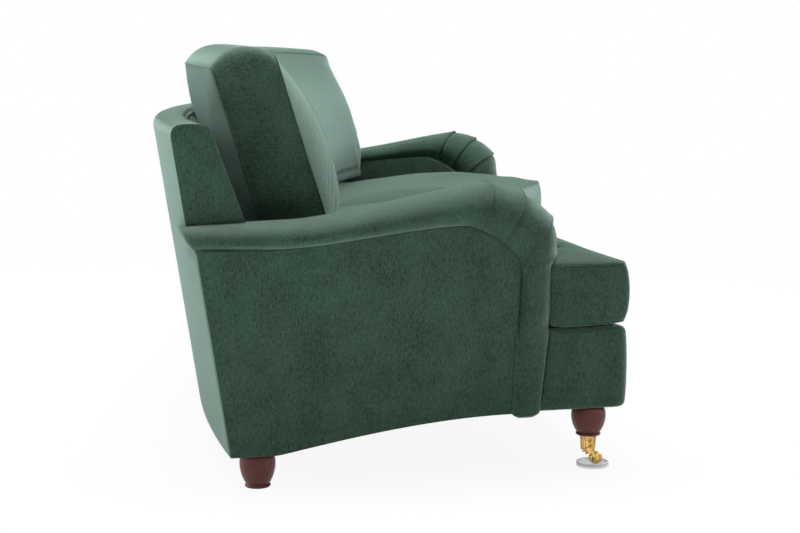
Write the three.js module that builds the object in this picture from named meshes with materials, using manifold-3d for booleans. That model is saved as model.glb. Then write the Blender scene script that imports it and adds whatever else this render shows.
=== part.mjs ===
// A curved English roll arm sofa: loose feather cushions, pleated roll arms,
// turned feet, and brass casters at the front, over a hardwood frame.
// Millimetres, +Z up. The front faces -Y and the left end lies at -X.
//
// Plan: the back and the front border follow arcs about one centre, which lies
// ahead of the sofa. Each arm is straight and stands turned by armTurnDegrees.
// In an arm's own frame, reach runs forward from the rear corner of its outer
// panel, inset runs inward from that panel, and height is up.

import * as THREE from 'three';
import { mergeVertices } from 'three/addons/utils/BufferGeometryUtils.js';
import Module from 'manifold-3d';

const wasm = await Module();
wasm.setup();

// Plan of the whole sofa
const sofaLength = 2704;
const arcRadius = 4677;
const armTurnDegrees = 13.5;
const bodyDepth = 876;
const seatedGap = 0.3;
const coverGap = 0.6;
const cutOverrun = 20;

// Heights of the covered body
const rearBottomHeight = 72;
const frontBottomHeight = 134;
const sweepStartReach = 100;
const railTopHeight = 300;
const borderTopHeight = 313;
const backTopHeight = 757;
const backRakeShare = 0.15;

// Outside arm panel and the seam under the roll
const panelThickness = 14;
const panelBevel = 3;
const panelFrontReach = 621;
const panelFootReach = 608;
const seamHeight = 503;
const seamRise = 39;
const seamSwellReach = 107;
const seamTurnReach = 505;
const seamTurnDrop = 91;
const seamTurnHandleReach = 35;
const seamTurnHandleDrop = 36;
const seamSwellShares = [0.28, 0.74];

// Roll of the arm, its pleated nose and the facing below it
const rollCentreInset = 85;
const rollHalfWidth = 101;
const rollRearHalfWidth = 84;
const facingHalfWidth = 91;
const facingStripWidth = 29;
const rollChordMargin = 22;
const rollRearThickness = 46;
const rollSwellThickness = 53;
const rollThickness = 84;
const rollSwellReach = 130;
const crownPeakReach = 562;
const rollNoseReach = 722;
const rollNoseHeight = 512;
const rollTuckHeight = 455;
const rollTuckDrop = 24;
const rollRearOverhang = 20;
const facingDepth = 97;
const facingStepDepth = 88;
const facingStripDepth = 70;
const facingFootDepth = 50;
const facingFootDrop = 4;
const facingStepHeight = 322;
const facingStepDrop = 14;
const rollEndDome = 13;
const crownSwellShares = [0.2, 0.85];
const crownNoseShares = [0.4, 0.62];
const crownTuckShares = [0.5, 0.6, 0.15];
const rollEndDrawShares = [0.55, 0.2];
const facingFootDrawShare = 0.3;
const facingMarginShare = 0.125;
const pleatDepth = 7;
const pleatLift = 3;
const nosePleatShares = [0.2, 0.5, 0.78];
const tuckPleatShares = [0.5];
const nosePleatWidthShare = 0.035;
const tuckPleatWidthShare = 0.15;
const rearStationShares = [0, 0.3, 0.65];
const swellStationShares = [0, 0.17, 0.33, 0.5, 0.67, 0.83];
const noseStationShares = [0, 0.35, 0.65, 0.92];
const tuckStationShares = [0];
const facingStationShares = [0, 0.4, 1];

// Inside arm wall
const insideArmFace = 181;
const insideArmThickness = 25;
const insideArmBevel = 8;
const insideArmFrontReach = 612;
const insideArmRearGap = 6;

// Back: outer cover, padded inner back and end facings
const outsideBackThickness = 12;
const backTopThickness = 78;
const backFlareShare = 0.207;
const backPadThickness = 30;
const backWebSpace = 3.2;
const backCapThickness = 22;
const backEndInset = 70;
const backFacingThickness = 14;
const backFacingBevel = 3;
const backEdgeRadius = 16;
const rollNotchInset = 176;
const rollNotchRise = 9;
const backShelfClearance = 9;

// Front border and seat platform
const borderInset = 8;
const borderThickness = 24;
const borderCornerRadius = 26;
const borderInnerRadius = 4;
const borderTopRadius = 16;
const borderFootRadius = 12;
const earRearReach = 708;
const earFootDraw = 18;
const deckInset = 150;
const deckEarInset = 44;
const deckBorderGap = 2;

// Hardwood frame
const sideRailInset = 33;
const sideRailThickness = 51;
const railThickness = 28;
const rearRailSetback = 15;
const frontRailSetback = 25;
const armPostDepth = 60;
const armPostSetback = 8;
const armRailThickness = 26;
const armRailWidth = 116;
const armRailDrop = 3;
const backPostWidth = 41;
const backPostDepth = 46;
const backPostTopDepth = 34;
const backRailHeight = 74;
const lowerBackRailHeight = 60;
const lowerBackRailLift = 24;
const stretcherWidth = 24;
const stretcherHeight = 80;
const stretcherLift = 16;
const stretcherAngleShare = 0.5;
const cornerBlockLeg = 78;
const cornerBlockHeight = 60;
const cornerBlockDrop = 20;

// Webbing and dust cover
const webbingThickness = 2;
const webbingWidth = 60;
const seatWebCount = 10;
const firstSeatBandReach = 230;
const seatBandPitch = 120;
const seatBandCount = 3;
const seatBandInset = 36;
const backWebCount = 8;
const backWebLift = 40;
const backWebRelief = 0.5;
const dustCoverThickness = 1.6;
const dustCoverLift = 2;

// Seat cushions
const cushionGap = 9.2;
const seatCushionInset = 192;
const seatEarInset = 10;
const seatEarRearReach = 722;
const seatEdgeHeight = 454;
const seatCrown = 56;
const seatCrownReach = 230;
const cushionWelt = 9;
const weltStandOut = 3.5;
const boxingShares = [
  [0.25, 0.75],
  [0.5, 1],
  [0.75, 0.75],
];
const seatBoxingBulge = 9;
const seatSideSwellShare = 0.36;
const seatSwellBlend = 60;
const seatSideDraw = 5;
const seatFrontSetback = 6;
const seatRearGap = 4;
const seatTuckDepth = 262;
const seatTuckBlend = 260;
const seatTuckCrown = 2;
const seatDepthShares = [0, 0.06, 0.25, 0.5, 0.75, 0.94];
const seatEarDepthShares = [0, 0.12, 0.5, 0.88, 1];
const seatWidthShares = [0, 0.03, 0.15, 0.3, 0.45, 0.6, 0.75, 0.9, 1];
const seatEarWidthShares = [0.15, 0.5, 0.85, 1];

// Back cushions
const backCushionInset = 196;
const backCushionLift = 23.4;
const backCushionEdgeTop = 886;
const backCushionFootReach = 208;
const backCushionLeanShare = 0.372;
const backCushionThickness = 155;
const backFrontCrown = 80;
const backRearCrown = 50.5;
const backTopArch = 22;
const backCornerDraw = 12;
const backSideDraw = 9;
const backBoxingBulge = 16;
const backSideSwellShare = 0.28;
const backSwellBlend = 40;
const backCushionTiltShare = 0.195;
const backWidthShares = [0, 0.04, 0.12, 0.24, 0.38, 0.5, 0.62, 0.76, 0.88, 0.96, 1];
const backHeightShares = [0, 0.06, 0.18, 0.35, 0.52, 0.7, 0.84, 0.94, 1];

// Turned feet
const footRadius = 38;
const footRimRadius = 27;
const footNeckRadius = 29;
const rearFootReach = 61;
const frontLegReach = 795;
const footInset = 41;
const centreFootSetback = 46;
const supportLegTopWidth = 56;
const supportLegFootWidth = 42;
const bunHeight = 63;
const bunRimShare = 0.5;
const bunShares = [
  [0, 0],
  [0.1, 0.08],
  [0.52, 0.27],
  [0.86, 0.46],
  [1, 0.64],
  [0.96, 0.78],
  [0.72, 0.92],
  [0.3, 1],
];

// Brass casters
const socketTopRadius = 17.6;
const socketFootRadius = 16;
const socketHeight = 32;
const socketRimHeight = 4;
const socketRimRadius = 18.6;
const socketFluteDepth = 0.9;
const socketFluteCount = 20;
const socketFloor = 4;
const spigotRadius = 13;
const spigotLength = 26;
const casterTrail = 18;
const wheelRadius = 14;
const wheelWidth = 13;
const wheelRimBevel = 2;
const hubRadius = 5.5;
const hubStandOut = 1;
const axleRadius = 2.4;
const axleHeadRadius = 4;
const axleHeadThickness = 1.6;
const forkCheekThickness = 2.6;
const forkCheekRadius = 8.5;
const forkHeelReach = 9;
const forkHeelDrop = 8;
const forkNeckShares = [0.3, 0.55];
const forkThroatShares = [0.45, 0.75];
const forkCrownThickness = 3;
const forkSideGap = 0.6;
const swivelGap = 0.4;
const swivelStemRadius = 4;
const swivelStemLength = 3;
const cupRadius = 36;
const cupHeight = 10;
const cupFloor = 3;
const cupWall = 3.2;
const cupShift = 11;
const cupLip = 1.4;

// Facet counts
const arcSteps = 24;
const turnedSides = 20;
const smallSides = 12;
const rollArcSteps = 12;
const routeSteps = 8;
const sweepSteps = 10;
const dustCoverSteps = 6;
const roundSteps = 3;
const plateCurveSteps = 10;
const plateBevelSteps = 2;
const cheekCurveSteps = 6;

// Tolerances
const weldTolerance = 0.0001;
const edgeTolerance = 0.000001;

// Colours
const finishes = {
  velvet: { color: 0x6d877a, roughness: 0.85, metalness: 0 },
  velvetDark: { color: 0x4b6257, roughness: 0.9, metalness: 0 },
  hardwood: { color: 0xc39b6b, roughness: 0.7, metalness: 0 },
  mahogany: { color: 0x5a3734, roughness: 0.35, metalness: 0 },
  brass: { color: 0xb0934a, roughness: 0.3, metalness: 1 },
  webbing: { color: 0xa98f63, roughness: 0.9, metalness: 0 },
  cambric: { color: 0x232326, roughness: 0.95, metalness: 0 },
  clearPlastic: { color: 0xdde6ea, roughness: 0.1, metalness: 0 },
};

// Plan geometry

const along = THREE.MathUtils.lerp;
const armTurn = THREE.MathUtils.degToRad(armTurnDegrees);
const cornerAngle = Math.asin(sofaLength / 2 / arcRadius);
const armOriginDepth = arcRadius * Math.cos(cornerAngle - armTurn);
const armOriginSide = arcRadius * Math.sin(cornerAngle - armTurn);
const frontRadius = Math.hypot(armOriginDepth - bodyDepth, armOriginSide - borderInset);

/** Angle from the middle of the sofa to the line at this inset, on a circle of this radius. */
function angleAt(radius, inset) {
  return armTurn + Math.asin((armOriginSide - inset) / radius);
}

/** Reach, in the arm's frame, of a circle about the arc's centre where it crosses an inset line. */
function reachAt(radius, inset) {
  return armOriginDepth - Math.sqrt(radius ** 2 - (armOriginSide - inset) ** 2);
}

/** Plan point of the left end from the arm's own reach and inset. */
function endPoint(inset, reach) {
  const side = inset - armOriginSide;
  const depth = armOriginDepth - reach;
  const cos = Math.cos(armTurn);
  const sin = Math.sin(armTurn);
  return new THREE.Vector2(side * cos - depth * sin, side * sin + depth * cos);
}

function arcPoint(radius, angle) {
  return new THREE.Vector2(-radius * Math.sin(angle), radius * Math.cos(angle));
}

/** Radius of the outer face of the back at a height. */
function outerBackRadius(height) {
  return arcRadius + backRakeShare * (height - rearBottomHeight);
}

/** Radius of the inner face of the back, which leans more than the outer one. */
function innerBackRadius(height) {
  return outerBackRadius(height) - backTopThickness - backFlareShare * (backTopHeight - height);
}

// Mesh builders

function signedVolume(points, triangles) {
  let six = 0;
  for (const [a, b, c] of triangles) {
    six += points[a].dot(new THREE.Vector3().crossVectors(points[b], points[c]));
  }
  return six / 6;
}

/** Closed solid from points and triangles, with its faces turned outward. */
function solid(points, triangles) {
  const outward = signedVolume(points, triangles) > 0;
  const order = triangles.flatMap(([a, b, c]) => (outward ? [a, b, c] : [a, c, b]));
  const geometry = new THREE.BufferGeometry().setFromPoints(points);
  geometry.setIndex(order);
  return geometry;
}

/** Welded points and triangles of a geometry, without slivers of no area. */
function welded(geometry) {
  const bare = geometry.clone();
  bare.deleteAttribute('normal');
  bare.deleteAttribute('uv');
  const merged = mergeVertices(bare, weldTolerance);
  const place = merged.getAttribute('position');
  const points = Array.from({ length: place.count }, (_, i) => (
    new THREE.Vector3().fromBufferAttribute(place, i)
  ));
  const index = merged.getIndex().array;
  const triangles = [];
  for (let i = 0; i < index.length; i += 3) {
    const [a, b, c] = [index[i], index[i + 1], index[i + 2]];
    if (a !== b && b !== c && c !== a) triangles.push([a, b, c]);
  }
  return { points, triangles };
}

/** The same solid with each point carried to a new place. */
function carried(geometry, place) {
  const { points, triangles } = welded(geometry);
  return solid(points.map((point) => place(point.x, point.y, point.z)), triangles);
}

function mirrored(geometry) {
  return carried(geometry, (x, y, z) => new THREE.Vector3(-x, y, z));
}

function toManifold(geometry) {
  const { points, triangles } = welded(geometry);
  const mesh = new wasm.Mesh({
    numProp: 3,
    vertProperties: new Float32Array(points.flatMap((point) => point.toArray())),
    triVerts: new Uint32Array(triangles.flat()),
  });
  return new wasm.Manifold(mesh);
}

function fromManifold(body) {
  const mesh = body.getMesh();
  const geometry = new THREE.BufferGeometry();
  geometry.setAttribute('position', new THREE.BufferAttribute(new Float32Array(mesh.vertProperties), 3));
  geometry.setIndex(new THREE.BufferAttribute(new Uint32Array(mesh.triVerts), 1));
  return geometry;
}

function cut(body, ...tools) {
  return fromManifold(tools.reduce((left, tool) => left.subtract(toManifold(tool)), toManifold(body)));
}

function join(first, ...others) {
  return fromManifold(others.reduce((whole, other) => whole.add(toManifold(other)), toManifold(first)));
}

/** Triangles that close one part of a ring, given as the ring's point numbers in order. */
function capTriangles(ring, part) {
  const corners = part.map((i) => ring[i]);
  const normal = new THREE.Vector3();
  corners.forEach((point, i) => {
    normal.add(new THREE.Vector3().crossVectors(point, corners[(i + 1) % corners.length]));
  });
  normal.normalize();
  const across = new THREE.Vector3().subVectors(corners[1], corners[0]).projectOnPlane(normal).normalize();
  const up = new THREE.Vector3().crossVectors(normal, across);
  const flat = corners.map((point) => new THREE.Vector2(point.dot(across), point.dot(up)));
  return THREE.ShapeUtils.triangulateShape(flat, []).map(([a, b, c]) => {
    const turn = flat[b].clone().sub(flat[a]).cross(flat[c].clone().sub(flat[a]));
    return (turn > 0 ? [a, b, c] : [a, c, b]).map((i) => part[i]);
  });
}

/**
 * Solid through a row of rings that all have the same number of points. Where an end ring is
 * stepped, capParts lists the point numbers of each flat part of its cap.
 */
function loft(rings, capParts) {
  const count = rings[0].length;
  const parts = capParts ?? [Array.from({ length: count }, (_, i) => i)];
  const points = rings.flat();
  const triangles = [];
  for (let i = 0; i + 1 < rings.length; i += 1) {
    for (let j = 0; j < count; j += 1) {
      const a = i * count + j;
      const b = i * count + ((j + 1) % count);
      triangles.push([a, b, b + count], [a, b + count, a + count]);
    }
  }
  const last = (rings.length - 1) * count;
  parts.forEach((part) => {
    capTriangles(rings[0], part).forEach(([a, b, c]) => triangles.push([a, c, b]));
    capTriangles(rings[rings.length - 1], part).forEach(([a, b, c]) => {
      triangles.push([a + last, b + last, c + last]);
    });
  });
  return solid(points, triangles);
}

/**
 * Solid that follows the sofa's arc. The section is a list of [radius, height] points. Its
 * stations share out the angle at innerInset, and each end is cut at insetOf(height).
 */
function arcSolid(section, insetOf, innerInset, capParts) {
  const stations = Array.from({ length: arcSteps + 1 }, (_, i) => (2 * i) / arcSteps - 1);
  const ringAt = (angleOf) => section.map(([radius, height]) => {
    const flat = arcPoint(radius, angleOf(radius, height));
    return new THREE.Vector3(flat.x, flat.y, height);
  });
  const rings = stations.map((share) => ringAt((radius) => share * angleAt(radius, innerInset)));
  const ends = [-1, 1].map((side) => ringAt((radius, height) => side * angleAt(radius, insetOf(height))));
  return loft([ends[0], ...rings.slice(1, -1), ends[1]], capParts);
}

/** Arc solid whose two ends are both cut at one inset. */
function arcBar(section, inset) {
  return arcSolid(section, () => inset, inset);
}

function rectangleSection(inner, outer, bottom, top) {
  return [[inner, bottom], [outer, bottom], [outer, top], [inner, top]];
}

/** Plate that stands along the arm: a shape drawn in reach and height, from one inset inward. */
function armPlate(shape, inset, thickness, bevel = 0) {
  const flat = new THREE.ExtrudeGeometry(shape, {
    depth: thickness - 2 * bevel,
    bevelEnabled: bevel > 0,
    bevelSize: bevel,
    bevelThickness: bevel,
    bevelOffset: -bevel,
    bevelSegments: plateBevelSteps,
    curveSegments: plateCurveSteps,
    steps: 1,
  });
  return carried(flat, (x, y, z) => new THREE.Vector3(inset + bevel + z, -x, y));
}

/** Upright solid from a plan shape. */
function planSolid(shape, bottom, top) {
  const flat = new THREE.ExtrudeGeometry(shape, { depth: top - bottom, bevelEnabled: false });
  return carried(flat, (x, y, z) => new THREE.Vector3(x, y, bottom + z));
}

/** Turned solid from [radius, height] points that start and end on the axis. */
function turned(profile, sides) {
  const outline = profile.map(([radius, height]) => new THREE.Vector2(radius, height));
  const lathe = new THREE.LatheGeometry(outline, sides);
  return carried(lathe, (x, y, z) => new THREE.Vector3(x, z, y));
}

function block(width, depth, height, centre) {
  return carried(new THREE.BoxGeometry(width, depth, height), (x, y, z) => (
    new THREE.Vector3(x + centre.x, y + centre.y, z + centre.z)
  ));
}

function shiftedBy(geometry, x, y, z) {
  return carried(geometry, (px, py, pz) => new THREE.Vector3(px + x, py + y, pz + z));
}

// The sofa's groups: the arc's centre is the origin of them all

const sofa = new THREE.Group();
const leftEnd = new THREE.Group();
const rightEnd = new THREE.Group();
leftEnd.rotation.z = armTurn;
rightEnd.rotation.z = -armTurn;
const leftArm = new THREE.Group();
const rightArm = new THREE.Group();
leftArm.position.set(-armOriginSide, armOriginDepth, 0);
rightArm.position.set(armOriginSide, armOriginDepth, 0);
leftEnd.add(leftArm);
rightEnd.add(rightArm);
sofa.add(leftEnd, rightEnd);

function addMesh(parent, name, geometry, finish) {
  const mesh = new THREE.Mesh(geometry, new THREE.MeshStandardMaterial(finishes[finish]));
  mesh.geometry.computeVertexNormals();
  mesh.name = name;
  parent.add(mesh);
  return mesh;
}

/** The same piece at both arms; it is drawn for the left one. */
function addAtArms(name, geometry, finish) {
  addMesh(leftArm, `${name}_left`, geometry, finish);
  addMesh(rightArm, `${name}_right`, mirrored(geometry), finish);
}

/** The same piece in both halves of the arc; it is drawn for the left one. */
function addAtHalves(name, geometry, finish) {
  addMesh(sofa, `${name}_left`, geometry, finish);
  addMesh(sofa, `${name}_right`, mirrored(geometry), finish);
}

// Routes of the arm: the seam under the roll, and the crown of the roll

const rearReachAt = (height) => -backRakeShare * (height - rearBottomHeight);
const swellSeamHeight = seamHeight + seamRise;
const noseSeamHeight = swellSeamHeight - seamTurnDrop;
const tuckSeamHeight = noseSeamHeight - rollTuckDrop;
const facingReach = panelFrontReach + facingDepth;
const facingStepReach = panelFrontReach + facingStepDepth;
const facingStripReach = panelFrontReach + facingStripDepth;
const facingFootReach = panelFrontReach + facingFootDepth;

const at = (reach, height) => new THREE.Vector2(reach, height);

/** Front edge of the outer panel below the nose, which draws back towards its foot. */
function panelFrontAt(height) {
  return THREE.MathUtils.mapLinear(height, frontBottomHeight, noseSeamHeight, panelFootReach, panelFrontReach);
}

const seamRoute = [
  new THREE.LineCurve(at(rearReachAt(seamHeight), seamHeight), at(seamSwellReach, seamHeight)),
  new THREE.CubicBezierCurve(
    at(seamSwellReach, seamHeight),
    at(along(seamSwellReach, seamTurnReach, seamSwellShares[0]), seamHeight),
    at(along(seamSwellReach, seamTurnReach, seamSwellShares[1]), swellSeamHeight),
    at(seamTurnReach, swellSeamHeight),
  ),
  new THREE.CubicBezierCurve(
    at(seamTurnReach, swellSeamHeight),
    at(seamTurnReach + seamTurnHandleReach, swellSeamHeight),
    at(panelFrontReach, noseSeamHeight + seamTurnHandleDrop),
    at(panelFrontReach, noseSeamHeight),
  ),
  new THREE.LineCurve(at(panelFrontReach, noseSeamHeight), at(panelFrontAt(tuckSeamHeight), tuckSeamHeight)),
  new THREE.LineCurve(
    at(panelFrontAt(tuckSeamHeight), tuckSeamHeight),
    at(panelFrontAt(facingStepHeight), facingStepHeight),
  ),
  new THREE.LineCurve(
    at(panelFrontAt(facingStepHeight), facingStepHeight),
    at(panelFootReach, frontBottomHeight),
  ),
];

const rollTopHeight = swellSeamHeight + rollThickness;
const rollRearReach = rearReachAt(seamHeight) - rollRearOverhang;

const crownRoute = [
  new THREE.LineCurve(
    at(rollRearReach, seamHeight + rollRearThickness),
    at(rollSwellReach, seamHeight + rollSwellThickness),
  ),
  new THREE.CubicBezierCurve(
    at(rollSwellReach, seamHeight + rollSwellThickness),
    at(along(rollSwellReach, crownPeakReach, crownSwellShares[0]), seamHeight + rollSwellThickness),
    at(along(rollSwellReach, crownPeakReach, crownSwellShares[1]), rollTopHeight),
    at(crownPeakReach, rollTopHeight),
  ),
  new THREE.CubicBezierCurve(
    at(crownPeakReach, rollTopHeight),
    at(along(crownPeakReach, rollNoseReach, crownNoseShares[0]), rollTopHeight),
    at(rollNoseReach, along(rollNoseHeight, rollTopHeight, crownNoseShares[1])),
    at(rollNoseReach, rollNoseHeight),
  ),
  new THREE.CubicBezierCurve(
    at(rollNoseReach, rollNoseHeight),
    at(rollNoseReach, along(rollNoseHeight, rollTuckHeight, crownTuckShares[0])),
    at(
      along(facingReach, rollNoseReach, crownTuckShares[1]),
      along(rollTuckHeight, rollNoseHeight, crownTuckShares[2]),
    ),
    at(facingReach, rollTuckHeight),
  ),
  new THREE.LineCurve(at(facingReach, rollTuckHeight), at(facingStepReach, facingStepHeight)),
  new THREE.LineCurve(at(facingStripReach, facingStepHeight), at(facingFootReach, frontBottomHeight)),
];

/** Bottom edge of the side, which climbs from the rear foot to the front. */
function sideBottomAt(reach) {
  const share = THREE.MathUtils.clamp((reach - sweepStartReach) / (panelFrontReach - sweepStartReach), 0, 1);
  return along(rearBottomHeight, frontBottomHeight, Math.sin((share * Math.PI) / 2));
}

function addSideBottom(shape, toReach) {
  for (let i = 0; i <= sweepSteps; i += 1) {
    const reach = along(sweepStartReach, toReach, i / sweepSteps);
    shape.lineTo(reach, sideBottomAt(reach));
  }
}

/** Points of the seam between two reaches, from rear to front. */
function seamBetween(fromReach, toReach) {
  const points = [...seamRoute[1].getPoints(routeSteps), ...seamRoute[2].getPoints(routeSteps).slice(1)];
  const heightAt = (reach) => {
    const next = points.findIndex((point) => point.x >= reach);
    if (next < 1) return seamHeight;
    const [before, after] = [points[next - 1], points[next]];
    return THREE.MathUtils.mapLinear(reach, before.x, after.x, before.y, after.y);
  };
  const inside = points.filter((point) => point.x > fromReach && point.x < toReach);
  return [at(fromReach, heightAt(fromReach)), ...inside, at(toReach, heightAt(toReach))];
}

// Upholstered arm

function makeOutsideArm() {
  const shape = new THREE.Shape();
  shape.moveTo(0, rearBottomHeight);
  addSideBottom(shape, panelFootReach - coverGap);
  shape.lineTo(panelFrontReach - coverGap, noseSeamHeight);
  const turnPoints = seamRoute[2].getPoints(routeSteps).reverse();
  const swellPoints = seamRoute[1].getPoints(routeSteps).reverse();
  [...turnPoints.slice(1), ...swellPoints.slice(1)].forEach((point) => {
    shape.lineTo(point.x - coverGap, point.y - coverGap);
  });
  shape.lineTo(rearReachAt(seamHeight), seamHeight - coverGap);
  return armPlate(shape, 0, panelThickness, panelBevel);
}

/** Stations of a stretch with pleats: three more at each pleat, which sinks and then lifts. */
function pleatedStations(stretch, plainShares, pleatShares, width) {
  const plain = plainShares.map((share) => ({ stretch, share, lift: 0 }));
  const pleats = pleatShares.flatMap((share) => [
    { stretch, share: share - width, lift: 0 },
    { stretch, share, lift: -pleatDepth },
    { stretch, share: share + width, lift: pleatLift },
  ]);
  return [...plain, ...pleats].sort((a, b) => a.share - b.share);
}

const rollStations = [
  ...pleatedStations(0, rearStationShares, [], 0),
  ...pleatedStations(1, swellStationShares, [], 0),
  ...pleatedStations(2, noseStationShares, nosePleatShares, nosePleatWidthShare),
  ...pleatedStations(3, tuckStationShares, tuckPleatShares, tuckPleatWidthShare),
  ...pleatedStations(4, facingStationShares, [], 0),
];
const rollHalfWidths = [
  rollRearHalfWidth,
  rollHalfWidth,
  rollHalfWidth,
  rollHalfWidth,
  facingHalfWidth,
  facingHalfWidth,
];

/** One ring of the roll: an arc from the outer seam over the crown to the inner seam. */
function rollRing(seam, crown, halfWidth, centreInset, margin, lift) {
  const start = Math.acos(1 - margin / halfWidth);
  const low = Math.sin(start);
  const length = crown.distanceTo(seam);
  const scale = (length + lift) / length;
  return Array.from({ length: rollArcSteps + 1 }, (_, i) => {
    const angle = -start + ((Math.PI + 2 * start) * i) / rollArcSteps;
    const rise = ((Math.sin(angle) + low) / (1 + low)) * scale;
    const flat = seam.clone().lerp(crown, rise);
    return new THREE.Vector3(centreInset - halfWidth * Math.cos(angle), -flat.x, flat.y);
  });
}

function shrunkRing(ring, share, shift) {
  const centre = ring.reduce((sum, point) => sum.add(point), new THREE.Vector3()).divideScalar(ring.length);
  return ring.map((point) => point.clone().lerp(centre, share).add(shift));
}

function makeArmRoll(postEnvelope) {
  const rings = rollStations.map(({ stretch, share, lift }) => rollRing(
    seamRoute[stretch].getPoint(share),
    crownRoute[stretch].getPoint(share),
    along(rollHalfWidths[stretch], rollHalfWidths[stretch + 1], share),
    rollCentreInset,
    rollChordMargin,
    lift,
  ));
  const rear = rollEndDrawShares.map((share, i) => (
    shrunkRing(rings[0], share, new THREE.Vector3(0, rollEndDome / (i + 1), 0))
  ));
  const stripCentre = facingStripWidth / 2 + rollCentreInset - facingHalfWidth;
  const strip = (height) => {
    const share = (facingStepHeight - height) / (facingStepHeight - frontBottomHeight);
    return rollRing(
      seamRoute[5].getPoint(share),
      crownRoute[5].getPoint(share),
      facingStripWidth / 2,
      stripCentre,
      facingStripWidth * facingMarginShare,
      0,
    );
  };
  const foot = strip(frontBottomHeight - facingFootDrop);
  const facing = [
    strip(facingStepHeight - facingStepDrop),
    strip((facingStepHeight + frontBottomHeight) / 2),
    foot,
    shrunkRing(foot, facingFootDrawShare, new THREE.Vector3(0, 0, -rollEndDome / 2)),
  ];
  return cut(loft([...rear, ...rings, ...facing]), postEnvelope);
}

function makeInsideArm() {
  const foot = borderTopHeight + coverGap;
  const backReach = (height) => reachAt(innerBackRadius(height), insideArmFace) + insideArmRearGap;
  const shape = new THREE.Shape();
  shape.moveTo(backReach(foot), foot);
  shape.lineTo(insideArmFrontReach, foot);
  seamBetween(backReach(seamHeight), insideArmFrontReach).reverse().forEach((point) => {
    shape.lineTo(point.x, point.y - armRailDrop);
  });
  return armPlate(shape, insideArmFace - insideArmThickness, insideArmThickness, insideArmBevel);
}

// Back

const backShelfHeight = seamHeight + rollRearThickness + backShelfClearance;

function backInsetAt(height) {
  if (height <= seamHeight - rollNotchRise) return panelThickness + coverGap;
  return height < backShelfHeight ? rollNotchInset : backEndInset;
}

function makeOutsideBack() {
  const notchBottom = seamHeight - rollNotchRise;
  const heights = [
    rearBottomHeight,
    notchBottom,
    notchBottom + coverGap,
    backShelfHeight - coverGap,
    backShelfHeight,
    backTopHeight - rollEndDome / 2,
  ];
  const outer = heights.map((height) => [outerBackRadius(height), height]);
  const inner = heights.map((height) => [outerBackRadius(height) - outsideBackThickness, height]).reverse();
  const count = 2 * heights.length;
  const rungs = heights.slice(1).map((_, i) => [i, i + 1, count - 2 - i, count - 1 - i]);
  return arcSolid([...outer, ...inner], backInsetAt, rollNotchInset, rungs);
}

function makeInsideBack() {
  const foot = borderTopHeight + coverGap;
  const corner = backTopHeight - backEdgeRadius;
  const diagonal = backEdgeRadius * (1 - Math.SQRT1_2);
  const capUnder = backTopHeight - backCapThickness;
  const pad = (height) => innerBackRadius(height) + backPadThickness;
  const rear = (height) => outerBackRadius(height) - outsideBackThickness - coverGap;
  const section = [
    [innerBackRadius(foot), foot],
    [innerBackRadius(backShelfHeight - coverGap), backShelfHeight - coverGap],
    [innerBackRadius(backShelfHeight), backShelfHeight],
    [innerBackRadius(corner), corner],
    [innerBackRadius(corner) + diagonal, backTopHeight - diagonal],
    [innerBackRadius(corner) + backEdgeRadius, backTopHeight],
    [rear(backTopHeight), backTopHeight],
    [rear(capUnder), capUnder],
    [pad(capUnder), capUnder],
    [pad(backShelfHeight), backShelfHeight],
    [pad(backShelfHeight - coverGap), backShelfHeight - coverGap],
    [pad(foot), foot],
  ];
  const lowInset = insideArmFace + 2 * coverGap;
  const highInset = backEndInset + backFacingThickness + coverGap;
  const capParts = [[0, 1, 10, 11], [1, 2, 9, 10], [2, 3, 4, 5, 6, 7, 8, 9]];
  return arcSolid(section, (height) => (height < backShelfHeight ? lowInset : highInset), lowInset, capParts);
}

function makeBackFacing() {
  const inset = backEndInset + backFacingThickness / 2;
  const rear = (height) => (
    reachAt(outerBackRadius(height) - outsideBackThickness, backEndInset + backFacingThickness) + coverGap
  );
  const front = (height) => reachAt(innerBackRadius(height), inset);
  const top = backTopHeight;
  const shape = new THREE.Shape();
  shape.moveTo(rear(backShelfHeight), backShelfHeight);
  shape.lineTo(front(backShelfHeight), backShelfHeight);
  shape.lineTo(front(top - backEdgeRadius), top - backEdgeRadius);
  shape.quadraticCurveTo(front(top), top, front(top) - backEdgeRadius, top);
  shape.lineTo(rear(top) + backEdgeRadius / 2, top);
  shape.lineTo(rear(top - backEdgeRadius / 2), top - backEdgeRadius / 2);
  return armPlate(shape, backEndInset, backFacingThickness, backFacingBevel);
}

// Border and platform

/** Plan points along an arc, from the left inset line to the right one. */
function arcRow(radius, inset) {
  const end = angleAt(radius, inset);
  return Array.from({ length: arcSteps + 1 }, (_, i) => arcPoint(radius, end * (1 - (2 * i) / arcSteps)));
}

const mirrorPoint = (point) => new THREE.Vector2(-point.x, point.y);

/** Plan path of the border's outer or inner face: both ears and the arc between them. */
function borderPath(radius, inset, cornerRadius) {
  const corner = reachAt(radius, inset) - cornerRadius;
  const diagonal = cornerRadius * (1 - Math.SQRT1_2);
  const ear = [
    endPoint(inset, earRearReach),
    endPoint(inset, corner),
    endPoint(inset + diagonal, corner + cornerRadius - diagonal),
  ];
  return [...ear, ...arcRow(radius, inset + cornerRadius), ...ear.map(mirrorPoint).reverse()];
}

/** Quarter round of an upper outer edge, as [depth from the outer face, drop from the top]. */
function topRound(radius, steps) {
  return Array.from({ length: steps + 1 }, (_, i) => {
    const angle = (i / steps) * (Math.PI / 2);
    return [radius * (1 - Math.cos(angle)), radius * (1 - Math.sin(angle))];
  });
}

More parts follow.
